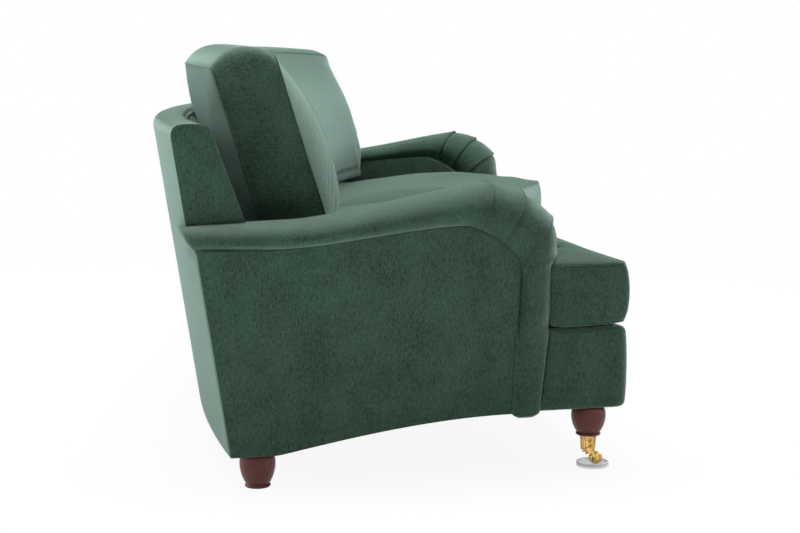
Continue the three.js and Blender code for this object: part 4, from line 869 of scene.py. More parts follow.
def front_end(height):
    """Inset of the cover's end on its front face: inside the arm, round its roll, then above it."""
    if height < FRONT_END_FOOT:
        return INNER_BACK_INSET
    if height < FRONT_SHELF + SHELF_STEP / 2:
        return roll_edge(height, 0.096, FRONT_SHELF)
    return UPPER_BACK_INSET


def back_section():
    """Section of the back's cover as radius, height, and the insets of its ends at each point."""
    top, rear_turn, front_turn = BACK_TOP, 0.02, 0.018
    foot = BORDER_TOP + SMALL_GAP
    points = []

    def add(radius_at, end, heights, inward=0.0):
        points.extend((radius_at(height) + inward, height, end(height)) for height in heights)

    add(outer_back_radius, rear_end, np.linspace(REAR_BOTTOM, SEAM_HEIGHT - SMALL_GAP, 16))
    add(outer_back_radius, rear_end, np.linspace(SEAM_HEIGHT, REAR_SHELF, 10))
    add(outer_back_radius, rear_end, np.linspace(REAR_SHELF + SHELF_STEP, top - rear_turn, 8))
    rear = outer_back_radius(top - rear_turn) - rear_turn
    front = inner_back_radius(top - front_turn) + front_turn
    for turn in np.linspace(0, math.pi / 2, 8)[1:]:
        radius = rear + rear_turn * math.cos(turn)
        points.append((radius, top - rear_turn * (1 - math.sin(turn)), UPPER_BACK_INSET))
    for share in np.linspace(0, 1, 6)[1:-1]:
        radius = rear + (front - rear) * share
        points.append((radius, top + 0.0015 * math.sin(math.pi * share), UPPER_BACK_INSET))
    for turn in np.linspace(math.pi / 2, 0, 8):
        radius = front - front_turn * math.cos(turn)
        points.append((radius, top - front_turn * (1 - math.sin(turn)), UPPER_BACK_INSET))
    add(inner_back_radius, front_end, np.linspace(top - front_turn, FRONT_SHELF + SHELF_STEP, 8)[1:])
    add(inner_back_radius, front_end, np.linspace(FRONT_SHELF, FRONT_END_FOOT, 8))
    add(inner_back_radius, front_end, np.linspace(FRONT_END_FOOT - 0.01, foot, 7))
    for span in ((foot, FRONT_END_FOOT - 0.01, 5), (FRONT_END_FOOT, FRONT_SHELF, 8),
                 (FRONT_SHELF + SHELF_STEP, INNER_TOP, 5)):
        add(inner_back_radius, front_end, np.linspace(*span), FRONT_WALL)
    for span in ((INNER_TOP, REAR_SHELF + SHELF_STEP, 5), (REAR_SHELF, SEAM_HEIGHT, 10),
                 (SEAM_HEIGHT - SMALL_GAP, REAR_BOTTOM, 8)):
        add(outer_back_radius, rear_end, np.linspace(*span), -REAR_WALL)
    return np.array(points)


def back_spine(section):
    """The middle of the cover's wall, once for each point of its section. It closes the cover's ends."""
    outer, inner = np.split(section, [-INNER_POINTS])
    height = inner[:, 1]
    in_front = np.arange(INNER_POINTS) < FRONT_INNER_POINTS
    front_middle = inner_back_radius(height) + FRONT_WALL / 2
    rear_middle = outer_back_radius(height) - REAR_WALL / 2
    middle = np.where(in_front, front_middle, rear_middle)
    height = np.where(height > INNER_TOP - 0.0001, BACK_TOP - 0.011, height)
    spine = np.column_stack([middle, height, inner[:, 2]])
    distance = np.linalg.norm(outer[:, None, :2] - spine[None, :, :2], axis=2)
    return np.vstack([spine[distance.argmin(axis=1)], spine])


def make_back_cover():
    """The cover of the back in one piece, from its rear foot over the top to the seat."""
    section = back_section()
    radius, height, inset = section.T
    between_arms = angle_at(radius, INNER_BACK_INSET)
    past_arms = angle_at(radius, inset) - between_arms
    spine_radius, spine_height, spine_inset = back_spine(section).T
    spine_end = angle_at(spine_radius, spine_inset)
    ends = [between_arms + past_arms * share for share in (1, 0.66, 0.33)]
    middle = [between_arms * share for share in np.linspace(1, -1, 121)]
    rings = [on_arc(radius, angle, height) for angle in ends + middle + [-end for end in reversed(ends)]]
    rings.insert(0, on_arc(spine_radius, spine_end, spine_height))
    rings.append(on_arc(spine_radius, -spine_end, spine_height))
    return lofted("back_cover", rings, angle=50)


def facing_outline():
    """Outline of the end of the upper back, as reach and height, from its foot round the top."""
    top, turn, inset = BACK_TOP, 0.018, 0.077
    rear_foot, front_foot = 0.5504, 0.5543

    def rear(height):
        return float(reach_at(outer_back_radius(height), inset))

    def front(height):
        return float(reach_at(inner_back_radius(height), inset))

    points = [(rear(h), h) for h in np.linspace(rear_foot, top - turn, 12)]
    start, end = rear(top - turn), front(top - turn)
    for angle in np.linspace(0, math.pi / 2, 7)[1:]:
        points.append((start + turn * (1 - math.cos(angle)), top - turn * (1 - math.sin(angle))))
    points.append(((rear(top) + front(top)) / 2, top + 0.001))
    for angle in np.linspace(math.pi / 2, 0, 7):
        points.append((end - turn * (1 - math.cos(angle)), top - turn * (1 - math.sin(angle))))
    points += [(front(h), h) for h in np.linspace(top - turn, front_foot, 12)[1:]]
    return np.array(points)


# Insets of the facing's rings, from its hidden back to the middle of its face, and how far each is drawn in
FACING_RINGS = [(0.0842, 0.3), (0.0842, 0.0), (0.0745, 0.0), (0.0722, 0.012), (0.0705, 0.05),
                (0.0692, 0.12), (0.068, 0.3), (0.0672, 0.6), (0.067, 0.9)]
FACING_PIPING_INSET = 0.0725


def make_back_facing(side, name):
    """The padded end plate of the upper back."""
    outline = facing_outline()
    outline = np.vstack([outline, np.linspace(outline[-1], outline[0], 8)[1:-1]])
    centre = outline.mean(axis=0)
    rings = []
    for inset, share in FACING_RINGS:
        reach, height = (outline + (centre - outline) * share).T
        rings.append(arm_points(inset, reach, height, side))
    return lofted(name, rings, angle=50)


class MakeBack(bpy.types.Operator):
    """Make the cover of the back, its end facings and their piping"""

    bl_idname = "sofa.back"
    bl_label = "Back"

    def execute(self, context):
        in_velvet(make_back_cover(), "outside_back", "inside_back")
        reach, height = facing_outline().T
        for side, end in ENDS:
            in_velvet(make_back_facing(side, f"back_facing_cover_{end}"), f"back_facing_{end}")
            edge = arm_points(FACING_PIPING_INSET, reach, height, side)
            path = softened(resampled(edge, 0.005), 3, loop=False)
            in_velvet(tube(f"back_piping_{end}", path, sizes().piping_radius, arm_axis(side)))
        return {"FINISHED"}


# Front border and platform


# Where an ear of the border ends behind its corner, and how far its foot is drawn back
EAR_TOP_REAR, EAR_DRAW = 0.698, 0.0245
EAR_RINGS = 11


def border_path(radius, inset, turn):
    """Plan path of one face of the border: both ears and the arc between them."""
    corner = float(reach_at(radius, inset)) - turn
    ear = [(inset, reach) for reach in np.linspace(EAR_TOP_REAR, corner, 12)]
    for angle in np.linspace(0, math.pi / 2, 10)[1:-1]:
        ear.append((inset + turn * (1 - math.cos(angle)), corner + turn * math.sin(angle)))
    left = arm_points(*np.transpose(ear), 0)[:, :2]
    end = float(angle_at(radius, inset + turn))
    middle = on_arc(radius, np.linspace(end, -end, 121), 0.0)[:, :2]
    return np.vstack([left, middle, left[::-1] * [-1, 1]])


def make_border():
    """The padded border under the seat cushions, with its rounded ears."""
    top_turn, foot_turn = 0.016, 0.012
    outer = border_path(FRONT_RADIUS, BORDER_INSET, 0.03)
    inner = border_path(FRONT_RADIUS + BORDER_THICKNESS, BORDER_INSET + BORDER_THICKNESS, 0.004)
    turns = np.linspace(0, math.pi / 2, 8)
    face = np.linspace(0, 1, 16)[1:-1]
    low, high = FRONT_BOTTOM + foot_turn, BORDER_TOP - top_turn
    depths = np.concatenate([
        [BORDER_THICKNESS], foot_turn * (1 - np.sin(turns)), np.zeros(len(face)),
        top_turn * (1 - np.cos(turns)), [BORDER_THICKNESS]])
    heights = np.concatenate([
        [FRONT_BOTTOM], FRONT_BOTTOM + foot_turn * (1 - np.cos(turns)), low + face * (high - low),
        BORDER_TOP - top_turn * (1 - np.sin(turns)), [BORDER_TOP]])
    padding = sizes().panel_padding * np.sin(math.pi * face) ** 0.7
    swell = np.concatenate([np.zeros(9), padding, np.zeros(9)])
    shares = depths / BORDER_THICKNESS
    backward = (on_arm([0, 0, 0]) - on_arm([0, 1, 0]))[:2]
    drawn = EAR_DRAW * (BORDER_TOP - heights) / (BORDER_TOP - FRONT_BOTTOM)
    rings = []
    for i, (start, end) in enumerate(zip(outer, inner)):
        across = (start - end) / np.linalg.norm(start - end)
        flat = start + (end - start) * shares[:, None] + across * swell[:, None]
        for way, steps in ((backward, i), (backward * [-1, 1], len(outer) - 1 - i)):
            flat += way * drawn[:, None] * max(0, 1 - steps / EAR_RINGS)
        rings.append(np.column_stack([flat, heights]))
    caps = [drawn_in(ring, 0.25, (0, 0.002, 0)) for ring in (rings[0], rings[-1])]
    return lofted("front_border_cover", [caps[0], *rings, caps[1]], angle=50)


class MakeBorder(bpy.types.Operator):
    """Make the padded front border, the seat platform and the cloths under it"""

    bl_idname = "sofa.border"
    bl_label = "Border and platform"

    def execute(self, context):
        in_velvet(make_border(), "front_border")
        in_velvet(node_copy("deck_cover", "deck_pad", 0.003), "deck_pad", fill=0.5)
        jute = woven("Jute webbing", colours().webbing, 0.003, 0.9)
        for node in ("seat_webbing", "back_webbing"):
            finish_piece(node_copy(f"{node}_bands", node, 0.0006, 1), jute, "webbing", node)
        cloth = woven("Black dust cover", colours().cambric, 0.0012, 0.95)
        finish_piece(node_copy("dust_cover_cloth", "dust_cover"), cloth, "cambric", "dust_cover")
        return {"FINISHED"}


# Cushions


CUSHION_GAP = 0.0092
PANEL_SHARES = np.sin(np.linspace(0.03, 1, 22) * math.pi / 2)
FILLING_FRAMES = 20


def outline_distance(points, outline):
    """Distance from plan points to the nearest stretch of a closed outline."""
    nearest = np.full(len(points), 1e9)
    for start, end in zip(outline, np.roll(outline, -1, axis=0)):
        edge = end - start
        share = np.clip(((points - start) @ edge) / (edge @ edge), 0, 1)
        gap = np.linalg.norm(points - start - share[:, None] * edge, axis=1)
        nearest = np.minimum(nearest, gap)
    return nearest


def ramp(value, low=0, high=1):
    """The value held between two limits."""
    return np.clip(value, low, high)


def round_share(distance, reach):
    """A crown that rises steeply at the edge and levels out at its full reach."""
    return np.sqrt(1 - (1 - ramp(distance / reach)) ** 2)


def gentle_share(distance, reach):
    """A crown that rises at an even slope at the edge and levels out at its full reach."""
    return np.sin(ramp(distance / reach) * math.pi / 2)


def radius_of(points):
    """Distance of points from the arc's centre in plan."""
    return np.hypot(points[:, 0], points[:, 1] - CENTRE_Y)


def arm_frame(points):
    """Inset and reach of world points on the left half."""
    x, y = points[:, 0], points[:, 1] - CENTRE_Y
    across = x * math.cos(ARM_TURN) + y * math.sin(ARM_TURN)
    depth = -x * math.sin(ARM_TURN) + y * math.cos(ARM_TURN)
    return across + ORIGIN_SIDE, ORIGIN_DEPTH - depth


def blank_cushion(name, outline, centre, heights_of, bulge, place):
    """A cushion before it is filled. Rings of its outline make one panel, its sides and the other panel."""
    tangent = np.roll(outline, -1, axis=0) - np.roll(outline, 1, axis=0)
    outward = np.column_stack([tangent[:, 1], -tangent[:, 0]])
    outward /= np.linalg.norm(outward, axis=1, keepdims=True)
    area = (outline[:, 0] * np.roll(outline[:, 1], -1) - np.roll(outline[:, 0], -1) * outline[:, 1]).sum()
    outward *= np.sign(area)
    at_edge = np.zeros(len(outline))
    panels = []
    for height_of in heights_of:
        rings = []
        for share in PANEL_SHARES:
            flat = centre + (outline - centre) * share
            distance = outline_distance(flat, outline) if share < 1 else at_edge
            rings.append(place(flat, height_of(flat, distance)))
        panels.append(rings)
    top, bottom = (height_of(outline, at_edge) for height_of in heights_of)
    boxing = []
    for share in np.linspace(0, 1, 11)[1:-1]:
        flat = outline + outward * (bulge(outline) * math.sin(math.pi * share) ** 0.8)[:, None]
        boxing.append(place(flat, top + (bottom - top) * share))
    seams = [resampled(place(outline, height), 0.004, loop=True) for height in (top, bottom)]
    return lofted(name, panels[0] + boxing + panels[1][::-1]), seams


def filled(piece, seams, swell, firm):
    """Fills a cushion: its cloth swells between its seams, and stays where firm says."""
    voxel = sizes().cushion_voxel
    apply_modifier(piece, "REMESH", mode="VOXEL", voxel_size=voxel, use_smooth_shade=True)
    apply_modifier(piece, "SMOOTH", factor=0.5, iterations=4)
    start = coordinates(piece)
    near = np.full(len(start), 1e9)
    for seam in seams:
        for chunk in np.array_split(np.arange(len(start)), 40):
            gaps = np.linalg.norm(start[chunk][:, None, :] - seam[None, :, :], axis=2).min(axis=1)
            near[chunk] = np.minimum(near[chunk], gaps)
    held = ramp(1 - (near - 0.4 * voxel) / voxel)
    group = piece.vertex_groups.new(name="seams")
    for index in np.nonzero(held > 0)[0]:
        group.add([int(index)], float(held[index]), "REPLACE")
    pick(piece)
    cloth = piece.modifiers.new("Filling", "CLOTH")
    settings = cloth.settings
    settings.quality = 4
    settings.mass = 0.3
    settings.tension_stiffness = settings.compression_stiffness = 12
    settings.shear_stiffness = 5
    settings.bending_stiffness = 0.4
    settings.use_pressure = True
    settings.uniform_pressure_force = sizes().cushion_pressure
    settings.vertex_group_mass = "seams"
    settings.effector_weights.gravity = 0
    cloth.collision_settings.use_collision = False
    cloth.point_cache.frame_start, cloth.point_cache.frame_end = 1, FILLING_FRAMES
    scene = bpy.context.scene
    for step in range(1, FILLING_FRAMES + 1):
        scene.frame_set(step)
    bpy.ops.object.modifier_apply(modifier=cloth.name)
    scene.frame_set(1)
    moved = coordinates(piece) - start
    distance = np.linalg.norm(moved, axis=1, keepdims=True)
    moved *= swell * np.tanh(distance / swell) / np.maximum(distance, 1e-9)
    set_coordinates(piece, start + moved * firm(start)[:, None])
    piece.vertex_groups.clear()
    apply_modifier(piece, "SMOOTH", factor=0.5, iterations=2)


def snapped(path, piece, sink):
    """A seam's path brought to the surface of the filled cushion."""
    spots = []
    for point in path:
        found, place, normal, _ = piece.closest_point_on_mesh(Vector(point))
        spots.append(np.array(place) - np.array(normal) * sink if found else point)
    return np.array(spots)


def beside_middle(points):
    """How freely the cloth swells, which is little where the two cushions of a kind meet."""
    return ramp((-points[:, 0] - CUSHION_GAP / 2 - 0.004) / 0.03, 0.05, 1)


SEAT_INSET, SEAT_EAR_INSET = 0.192, 0.01
SEAT_EDGE, SEAT_BOTTOM = 0.455, BORDER_TOP + 0.0003
SEAT_CROWN, SEAT_CLEARANCE = 0.0535, 0.004
SEAT_REAR = inner_back_radius(BORDER_TOP) - SEAT_CLEARANCE


def facing_front(inset):
    """Reach of the facing's front at an inset."""
    half_width = HALF_WIDTHS[-1]
    low = math.sin(math.acos(1 - ROLL_MARGIN / half_width))
    across = ramp((inset - ROLL_CENTRE) / half_width, -1, 1)
    return PANEL_FRONT + 0.097 * (np.sqrt(1 - across**2) + low) / (1 + low)


def seat_outline():
    """Plan outline of the left seat cushion: a T whose ear lies in front of the arm."""
    front = FRONT_RADIUS + 0.006
    inner = [math.asin(CUSHION_GAP / 2 / radius) for radius in (SEAT_REAR, front)]
    insets = np.linspace(SEAT_INSET - 0.016, SEAT_EAR_INSET, 24)
    ear_rear = np.where(insets > ROLL_CENTRE, NOSE_REACH, facing_front(insets) - SEAT_CLEARANCE)
    beside_arm = np.linspace(float(reach_at(SEAT_REAR, SEAT_INSET)), NOSE_REACH, 20)
    corner = float(reach_at(front, SEAT_EAR_INSET))
    ear_side = np.linspace(ear_rear[-1] + SEAT_CLEARANCE, corner, 10)
    parts = [
        on_arc(SEAT_REAR, np.linspace(inner[0], float(angle_at(SEAT_REAR, SEAT_INSET)), 40), 0.0),
        arm_points(SEAT_INSET, beside_arm, 0),
        arm_points(insets, ear_rear, 0),
        arm_points(SEAT_EAR_INSET, ear_side, 0),
        on_arc(front, np.linspace(float(angle_at(front, SEAT_EAR_INSET)), inner[1], 60), 0.0),
    ]
    return softened(resampled(np.vstack(parts), 0.005, loop=True), 6)[:, :2]


def make_seat_cushion(name):
    """The left seat cushion, with its ear in front of the arm."""
    corner = on_arm([SEAT_EAR_INSET, float(reach_at(FRONT_RADIUS, SEAT_EAR_INSET)), 0])[:2]

    def upper(flat, distance):
        rearward = ramp((radius_of(flat) - FRONT_RADIUS - 0.16) / 0.5) ** 1.9
        inward = gentle_share(arm_frame(flat)[0] + 0.01, 0.32)
        crown = SEAT_CROWN * (1 - 0.97 * rearward) * inward
        return SEAT_EDGE - 0.005 * rearward + crown * gentle_share(distance, 0.14) * crown_share()

    def lower(flat, distance):
        lifted = np.exp(-(np.linalg.norm(flat - corner, axis=1) / 0.07) ** 2)
        return SEAT_BOTTOM + 0.0045 + 0.006 * lifted - 0.0045 * gentle_share(distance, 0.03)

    def bulge(flat):
        front = ramp(1 - (radius_of(flat) - FRONT_RADIUS - 0.006) / 0.07)
        beside = ramp((-flat[:, 0] - CUSHION_GAP) / 0.06)
        return 0.0015 + 0.009 * front * beside

    def firm(start):
        inset, reach = arm_frame(start)
        under_back = ramp((SEAT_REAR - radius_of(start) - 0.22) / 0.15, 0.05)
        under = ramp((start[:, 2] - SEAT_BOTTOM - 0.002) / 0.02)
        side = np.where(reach > 0.73, 1, ramp((inset - 0.19) / 0.03, 0.15))
        return under_back * under * beside_middle(start) * side

    piece, seams = blank_cushion(name, seat_outline(), on_arm([0.24, 0.8, 0])[:2], (upper, lower), bulge,
                                 lambda flat, height: np.column_stack([flat, height]))
    filled(piece, seams, sizes().seat_swell, firm)
    smooth(piece, 60)
    return piece, seams


def crown_share():
    """Share of a crown that the cushion is made with. Filling adds the rest."""
    return 0.9


BACK_FOOT, BACK_EDGE_TOP, BACK_FOOT_REACH, BACK_LEAN, BACK_TILT = 0.463, 0.886, 0.195, 0.31, 0.195
BACK_HALF, BACK_INSET = 0.07, 0.196
BACK_MIDDLE = ORIGIN_DEPTH - BACK_FOOT_REACH
BACK_ANGLE = float(angle_at(BACK_MIDDLE, BACK_INSET)) - math.asin(CUSHION_GAP / 2 / BACK_MIDDLE)
BACK_WIDTH = BACK_ANGLE * BACK_MIDDLE
BACK_HEIGHT = BACK_EDGE_TOP - BACK_FOOT
BACK_ARCH = 0.008
BACK_SLOPE = OUTER_SLOPE + INNER_SLOPE


def back_place(flat, forward):
    """Carries a panel point of a left back cushion, and its distance forward, into place."""
    rise = ramp((flat[:, 1] - 0.245) / 0.11)
    laid_back = 0.038 * rise * rise * (3 - 2 * rise) * (1 - flat[:, 0] / BACK_WIDTH)
    radius = BACK_MIDDLE + BACK_LEAN * flat[:, 1] - forward + laid_back
    inner, outer = np.arcsin(CUSHION_GAP / 2 / radius), angle_at(radius, BACK_INSET)
    angle = inner + (outer - inner) * flat[:, 0] / BACK_WIDTH
    sag = 0.03 * ramp((forward - BACK_HALF) / 0.06) * ramp(1 - flat[:, 1] / 0.15)
    return on_arc(radius, angle, BACK_FOOT + flat[:, 1] + BACK_TILT * forward - sag)


def back_outline():
    """Outline of a back cushion's panels: its sides pull in and its top arches between round corners."""
    turn, width, height = 0.03, BACK_WIDTH, BACK_HEIGHT
    points = []
    for x, z, start in ((turn, turn, 180), (width - turn, turn, 270), (width - turn, height - turn, 0),
                        (turn, height - turn, 90)):
        for angle in np.radians(np.linspace(start, start + 90, 9)):
            points.append((x + turn * math.cos(angle), z + turn * math.sin(angle)))
    path = resampled(np.column_stack([points, np.zeros(len(points))]), 0.006, loop=True)[:, :2]
    across, up = path.T / [[width], [height]]
    path[:, 0] += 0.008 * np.sin(math.pi * up) * np.sign(0.5 - across) * np.abs(2 * across - 1) ** 4
    path[:, 1] += BACK_ARCH * np.sin(math.pi * across) * up
    return path


def back_rest_gap(flat):
    """How far the rear panel may swell before it meets the back."""
    height = BACK_FOOT + flat[:, 1] - BACK_TILT * BACK_HALF
    free = inner_back_radius(0.0) + BACK_SLOPE * height - 0.0015
    gap = (free - BACK_MIDDLE - BACK_LEAN * flat[:, 1] - BACK_HALF) / (1 + BACK_SLOPE * BACK_TILT)
    return gap + 1.5 * ramp(height - BACK_TOP - 0.012)


def make_back_cushion(name):
    """The left back cushion, a loose boxed one that leans on the back."""

    def front(flat, distance):
        side_gap = np.minimum(flat[:, 0], BACK_WIDTH - flat[:, 0])
        near_side = gentle_share(np.minimum(side_gap, 4 * distance), 0.24)
        near_top = round_share(np.minimum(BACK_HEIGHT + BACK_ARCH - flat[:, 1], 3 * distance), 0.3)
        near_foot = round_share(np.minimum(flat[:, 1], 4 * distance), 0.12)
        return BACK_HALF + 0.092 * near_side * near_top * near_foot * crown_share()

    def rear(flat, distance):
        crown = 0.028 * gentle_share(distance, 0.22)
        return -BACK_HALF - np.minimum(crown, np.maximum(back_rest_gap(flat), 0.0) * ramp(distance / 0.02))

    def bulge(flat):
        raised = ramp((flat[:, 1] - BACK_HEIGHT + 0.05) / 0.05)
        beside = ramp(flat[:, 0] / 0.08)
        foot = ramp(flat[:, 1] / 0.05)
        return 0.001 + 0.03 * raised * beside + 0.005 * foot * beside * (1 - raised)

    def firm(start):
        height = start[:, 2]
        behind = ramp((inner_back_radius(height) - radius_of(start) - 0.004) / 0.05)
        behind = np.where(height > BACK_TOP + 0.02, 1, behind)
        return behind * ramp((height - 0.49) / 0.05, 0.05) * beside_middle(start)

    middle = np.array([BACK_WIDTH / 2, BACK_HEIGHT / 2])
    piece, seams = blank_cushion(name, back_outline(), middle, (front, rear), bulge, back_place)
    filled(piece, seams, sizes().back_swell, firm)
    smooth(piece, 60)
    return piece, seams


def add_cushions(kind, make, fill, up, cloth):
    """Both cushions of a kind, with the piping along their seams."""
    left, seams = make(f"{kind}_cushion_cover_left")
    cords = []
    for place, seam in zip(("upper", "lower"), seams):
        path = softened(snapped(seam, left, -0.0006), 6)
        cord = tube(f"{kind}_piping_{place}_left", path, sizes().piping_radius, up, loop=True)
        cords.append((place, cord))
    right = mirrored_copy(left, f"{kind}_cushion_cover_right")
    finish_piece(left, cloth, "velvet", f"{kind}_cushion_left", fill=fill)
    finish_piece(right, cloth, "velvet", f"{kind}_cushion_right", fill=fill)
    for place, cord in cords:
        other = mirrored_copy(cord, f"{kind}_piping_{place}_right")
        in_velvet(cord)
        in_velvet(other)


class MakeSeatCushions(bpy.types.Operator):
    """Make the seat cushions, filled and piped"""

    bl_idname = "sofa.seat_cushions"
    bl_label = "Seat cushions"

    def execute(self, context):
        add_cushions("seat", make_seat_cushion, 0.7, (0, 0, 1), velvet())
        return {"FINISHED"}


class MakeBackCushions(bpy.types.Operator):
    """Make the back cushions, filled and piped"""

    bl_idname = "sofa.back_cushions"
    bl_label = "Back cushions"

    def execute(self, context):
        across = pile_cloth("Green velvet, laid across", (1, 0.45, 1))
        add_cushions("back", make_back_cushion, 0.65, (0, -1, 0.35), across)
        return {"FINISHED"}


# Feet and casters


BUN_HEIGHT = 0.063
STEM_RADIUS = 0.013


def turned(name, profile, centre):
    """A turned piece: its profile of radius and height is drawn as edges and spun about an upright axis."""
    profile = np.array(profile)
    fresh()
    bpy.ops.mesh.primitive_circle_add(vertices=len(profile), radius=1)
    piece = bpy.context.object
    piece.name = piece.data.name = name
    points = np.column_stack([profile[:, 0], np.zeros(len(profile)), profile[:, 1]])
    set_coordinates(piece, points + np.array([*centre, 0]))
    edit_all(piece, lambda: bpy.ops.mesh.spin(
        steps=sizes().turned_sides, angle=2 * math.pi, center=(*centre, 0), axis=(0, 0, 1),
        dupli=False), merge_close)
    edit_all(piece, lambda: bpy.ops.mesh.dissolve_degenerate(threshold=0.00001), recalculate)
    smooth(piece, 35)
    return piece


def bun_profile(bottom, height):
    """Side of a bun foot: a low ring at its foot, then a belly that is fullest near the top."""
    rim, widest, neck = 0.027, 0.038, 0.031
    ring = [(rim - 0.0018, bottom), (rim - 0.0004, bottom + 0.001), (rim + 0.0004, bottom + 0.0026),
            (rim + 0.0002, bottom + 0.0045), (rim - 0.0012, bottom + 0.006)]
    waist = [(rim - 0.0022, 0.1), (0.0335, 0.27), (widest, 0.52), (widest, 0.7)]
    shoulder = [(widest, 0.7), (widest, 0.86), (0.036, 0.95), (neck, 1.0)]
    side = [bezier(*curve)(share) for curve in (waist, shoulder) for share in np.linspace(0, 1, 16)[:-1]]
    return ring + [(radius, bottom + height * up) for radius, up in side] + [(neck, bottom + height)]


def plan_centre(node):
    """Middle of a frame node in plan."""
    low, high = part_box(node)
    return (low.x + high.x) / 2, (low.y + high.y) / 2


class MakeFeet(bpy.types.Operator):
    """Make the turned bun feet and the hidden support leg"""

    bl_idname = "sofa.feet"
    bl_label = "Feet"

    def execute(self, context):
        for node in ("rear_foot_left", "rear_foot_right", "rear_foot_centre"):
            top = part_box(node)[1].z
            foot = turned(f"{node}_bun", [(0, 0), *bun_profile(0, top), (0, top)], plan_centre(node))
            finish_piece(foot, mahogany(), "mahogany", node)
        for node in ("front_leg_left", "front_leg_right"):
            low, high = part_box(node)
            foot = high.z - BUN_HEIGHT
            stem = [(0, low.z), (STEM_RADIUS, low.z), (STEM_RADIUS, foot)]
            profile = [*stem, *bun_profile(foot, BUN_HEIGHT), (0, high.z)]
            leg = turned(f"{node}_bun", profile, plan_centre(node))
            finish_piece(leg, mahogany(), "mahogany", node)
        support = node_copy("support_leg", "front_foot_centre", 0.003)
        finish_piece(support, mahogany(), "mahogany", "front_foot_centre")
        return {"FINISHED"}


def coat(node, material):
    """Gives a frame node a material."""
    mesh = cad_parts[node].data
    mesh.materials.clear()
    mesh.materials.append(material)


class FinishCasters(bpy.types.Operator):
    """Give the casters polished brass and the cups clear plastic"""

    bl_idname = "sofa.casters"
    bl_label = "Casters"

    def execute(self, context):
        for side, end in ENDS:
            for part in ("socket", "fork", "wheel", "axle"):
                coat(f"caster_{part}_{end}", brass("Polished brass"))
            coat(f"caster_cup_{end}", clear_plastic("Clear plastic"))
        return {"FINISHED"}


# The axis along which the grain of each kind of timber runs
GRAIN_AXES = {"front_rail": 0, "rear_rail": 0, "back_top_rail": 0, "lower_back_rail": 0, "side_rail": 1,
              "arm_top_rail": 1, "seat_stretcher": 1, "corner_block": 0, "arm_post": 2, "back_post": 2}


class FinishTimbers(bpy.types.Operator):
    """Give the hidden timbers bare wood"""

    bl_idname = "sofa.timbers"
    bl_label = "Timbers"

    def execute(self, context):
        tone = colours().hardwood
        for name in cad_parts:
            for kind, axis in GRAIN_AXES.items():
                if name.startswith(kind):
                    label = f"Beech along {'xyz'[axis]}"
                    coat(name, wood(label, [0.7 * c for c in tone], tone, 0.6, 0, axis))
        return {"FINISHED"}


# Stage


def show_white(tree, shader, white_share):
    """Mixes in plain white where the camera, a mirror or clear plastic looks at it."""
    paths = add_node(tree, "LightPath").outputs
    indirect = calculated(tree, "MAXIMUM", paths["Is Glossy Ray"], paths["Is Transmission Ray"])
    seen = calculated(tree, "MAXIMUM", paths["Is Camera Ray"], indirect)
    share = calculated(tree, "MULTIPLY", seen, white_share)
    white = add_node(tree, "Emission", {"Strength": 1}).outputs["Emission"]
    return add_node(tree, "MixShader", {"Fac": share, 1: shader, 2: white}).outputs["Shader"]


def add_floor():
    """A white floor that fades to plain white away from the sofa."""
    fresh()
    bpy.ops.mesh.primitive_plane_add(size=60, location=(0, 0, 0))
    floor = bpy.context.object
    floor.name = "floor"
    material = bpy.data.materials.new("White floor")
    material.use_nodes = True
    tree = material.node_tree
    tree.nodes.clear()
    diffuse = add_node(tree, "BsdfDiffuse", {"Color": (0.9, 0.9, 0.9, 1)}).outputs["BSDF"]
    place = add_node(tree, "TexCoord").outputs["Object"]
    apart = add_node(tree, "VectorMath", {0: place}, operation="LENGTH").outputs["Value"]
    fade = map_range(tree, apart, 1.2, 4.5, 0.92, 1.0)
    add_node(tree, "OutputMaterial", {"Surface": show_white(tree, diffuse, fade)})
    floor.data.materials.append(material)


def set_world(scene):
    """Even white surroundings whose light is weaker from the left and from above."""
    scene.world = scene.world or bpy.data.worlds.new("Studio")
    scene.world.use_nodes = True
    tree = scene.world.node_tree
    tree.nodes.clear()
    facing = add_node(tree, "TexCoord").outputs["Generated"]
    parts = add_node(tree, "SeparateXYZ", {"Vector": facing}).outputs
    from_side = map_range(tree, parts["X"], -0.95, -0.25, 0.12, 0.42)
    from_above = map_range(tree, parts["Z"], 0.05, 0.7, 1.0, 0.4)
    strength = calculated(tree, "MULTIPLY", from_side, from_above)
    background = add_node(tree, "Background", {"Color": (1, 1, 1, 1), "Strength": strength})
    add_node(tree, "OutputWorld", {"Surface": show_white(tree, background.outputs["Background"], 1)})


def add_lamp(name, place, target, size, power, spread=180):
    """A large soft lamp that looks at a point, with its beam held to a spread in degrees."""
    lamp = bpy.data.lights.new(name, "AREA")
    lamp.shape = "RECTANGLE"
    lamp.size, lamp.size_y = size
    lamp.energy = power
    lamp.spread = math.radians(spread)
    holder = bpy.data.objects.new(name, lamp)
    bpy.context.scene.collection.objects.link(holder)
    holder.location = place
    holder.rotation_euler = (Vector(target) - Vector(place)).to_track_quat("-Z", "Y").to_euler()


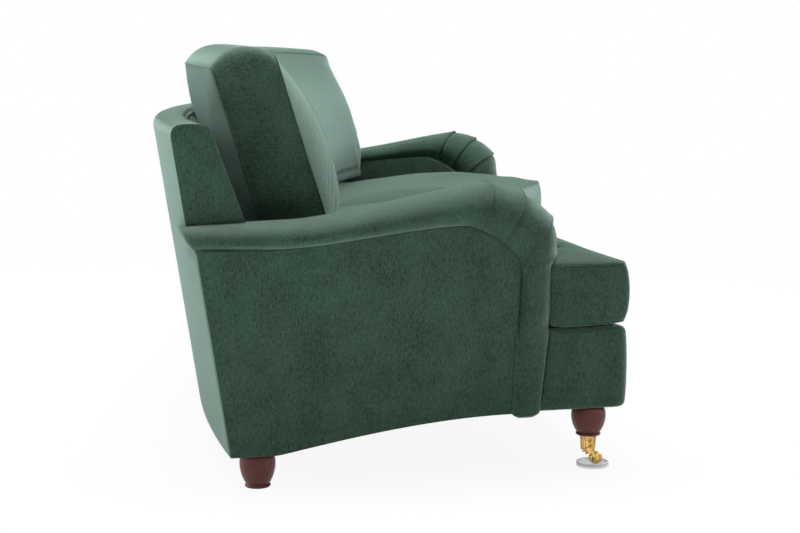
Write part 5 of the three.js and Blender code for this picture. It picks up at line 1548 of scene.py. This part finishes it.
class SetStage(bpy.types.Operator):
    """Set the floor, the soft light and the camera"""

    bl_idname = "sofa.stage"
    bl_label = "Stage"

    def execute(self, context):
        scene = context.scene
        scene.view_settings.view_transform = "Standard"
        add_floor()
        set_world(scene)
        add_lamp("lamp_front", (-0.6, -4.6, 2.4), (0, 0, 0.6), (5, 3), 90)
        add_lamp("lamp_rear", (-0.9, 4.6, 2.2), (0, 0, 0.6), (5, 3), 165)
        add_lamp("lamp_top", (0.2, 0.2, 4.2), (0.2, 0.201, 0), (2.4, 4), 150, 140)
        add_lamp("lamp_floor", (-4.4, 0, 3.2), (-4.4, 0.001, 0), (4, 7), 250, 50)
        camera = bpy.data.cameras.new("camera")
        camera.lens, camera.sensor_width = 72.3, 36
        holder = bpy.data.objects.new("camera", camera)
        scene.collection.objects.link(holder)
        holder.location = (-4.591, CENTRE_Y + 4.122, 0.9)
        holder.rotation_euler = (math.radians(90 - 7.51), 0, math.radians(-90 + 0.107))
        scene.camera = holder
        return {"FINISHED"}


class SofaPanel(bpy.types.Panel):
    """Sizes, colours and pieces of the sofa"""

    bl_idname = "VIEW3D_PT_roll_arm_sofa"
    bl_label = "Roll arm sofa"
    bl_space_type = "VIEW_3D"
    bl_region_type = "UI"
    bl_category = "Roll arm sofa"

    def draw(self, context):
        layout = self.layout
        for group in (context.scene.sofa_sizes, context.scene.sofa_colours):
            for name in group.bl_rna.properties.keys():
                if name not in ("rna_type", "name"):
                    layout.prop(group, name)
        for step in STEPS:
            layout.operator(step.bl_idname)


STEPS = (
    MakeArmRolls, MakeArmWalls, MakeBack, MakeBorder, MakeSeatCushions, MakeBackCushions,
    MakeFeet, FinishCasters, FinishTimbers, SetStage,
)
CLASSES = (SofaSizes, SofaColours, *STEPS, SofaPanel)


def register():
    for each in CLASSES:
        bpy.utils.register_class(each)
    bpy.types.Scene.sofa_sizes = PointerProperty(type=SofaSizes)
    bpy.types.Scene.sofa_colours = PointerProperty(type=SofaColours)


def unregister():
    del bpy.types.Scene.sofa_colours
    del bpy.types.Scene.sofa_sizes
    for each in reversed(CLASSES):
        bpy.utils.unregister_class(each)


def main():
    register()
    bpy.ops.sofa.arm_rolls()
    bpy.ops.sofa.arm_walls()
    bpy.ops.sofa.back()
    bpy.ops.sofa.border()
    bpy.ops.sofa.seat_cushions()
    bpy.ops.sofa.back_cushions()
    bpy.ops.sofa.feet()
    bpy.ops.sofa.casters()
    bpy.ops.sofa.timbers()
    bpy.ops.sofa.stage()


if __name__ == "__main__":
    main()
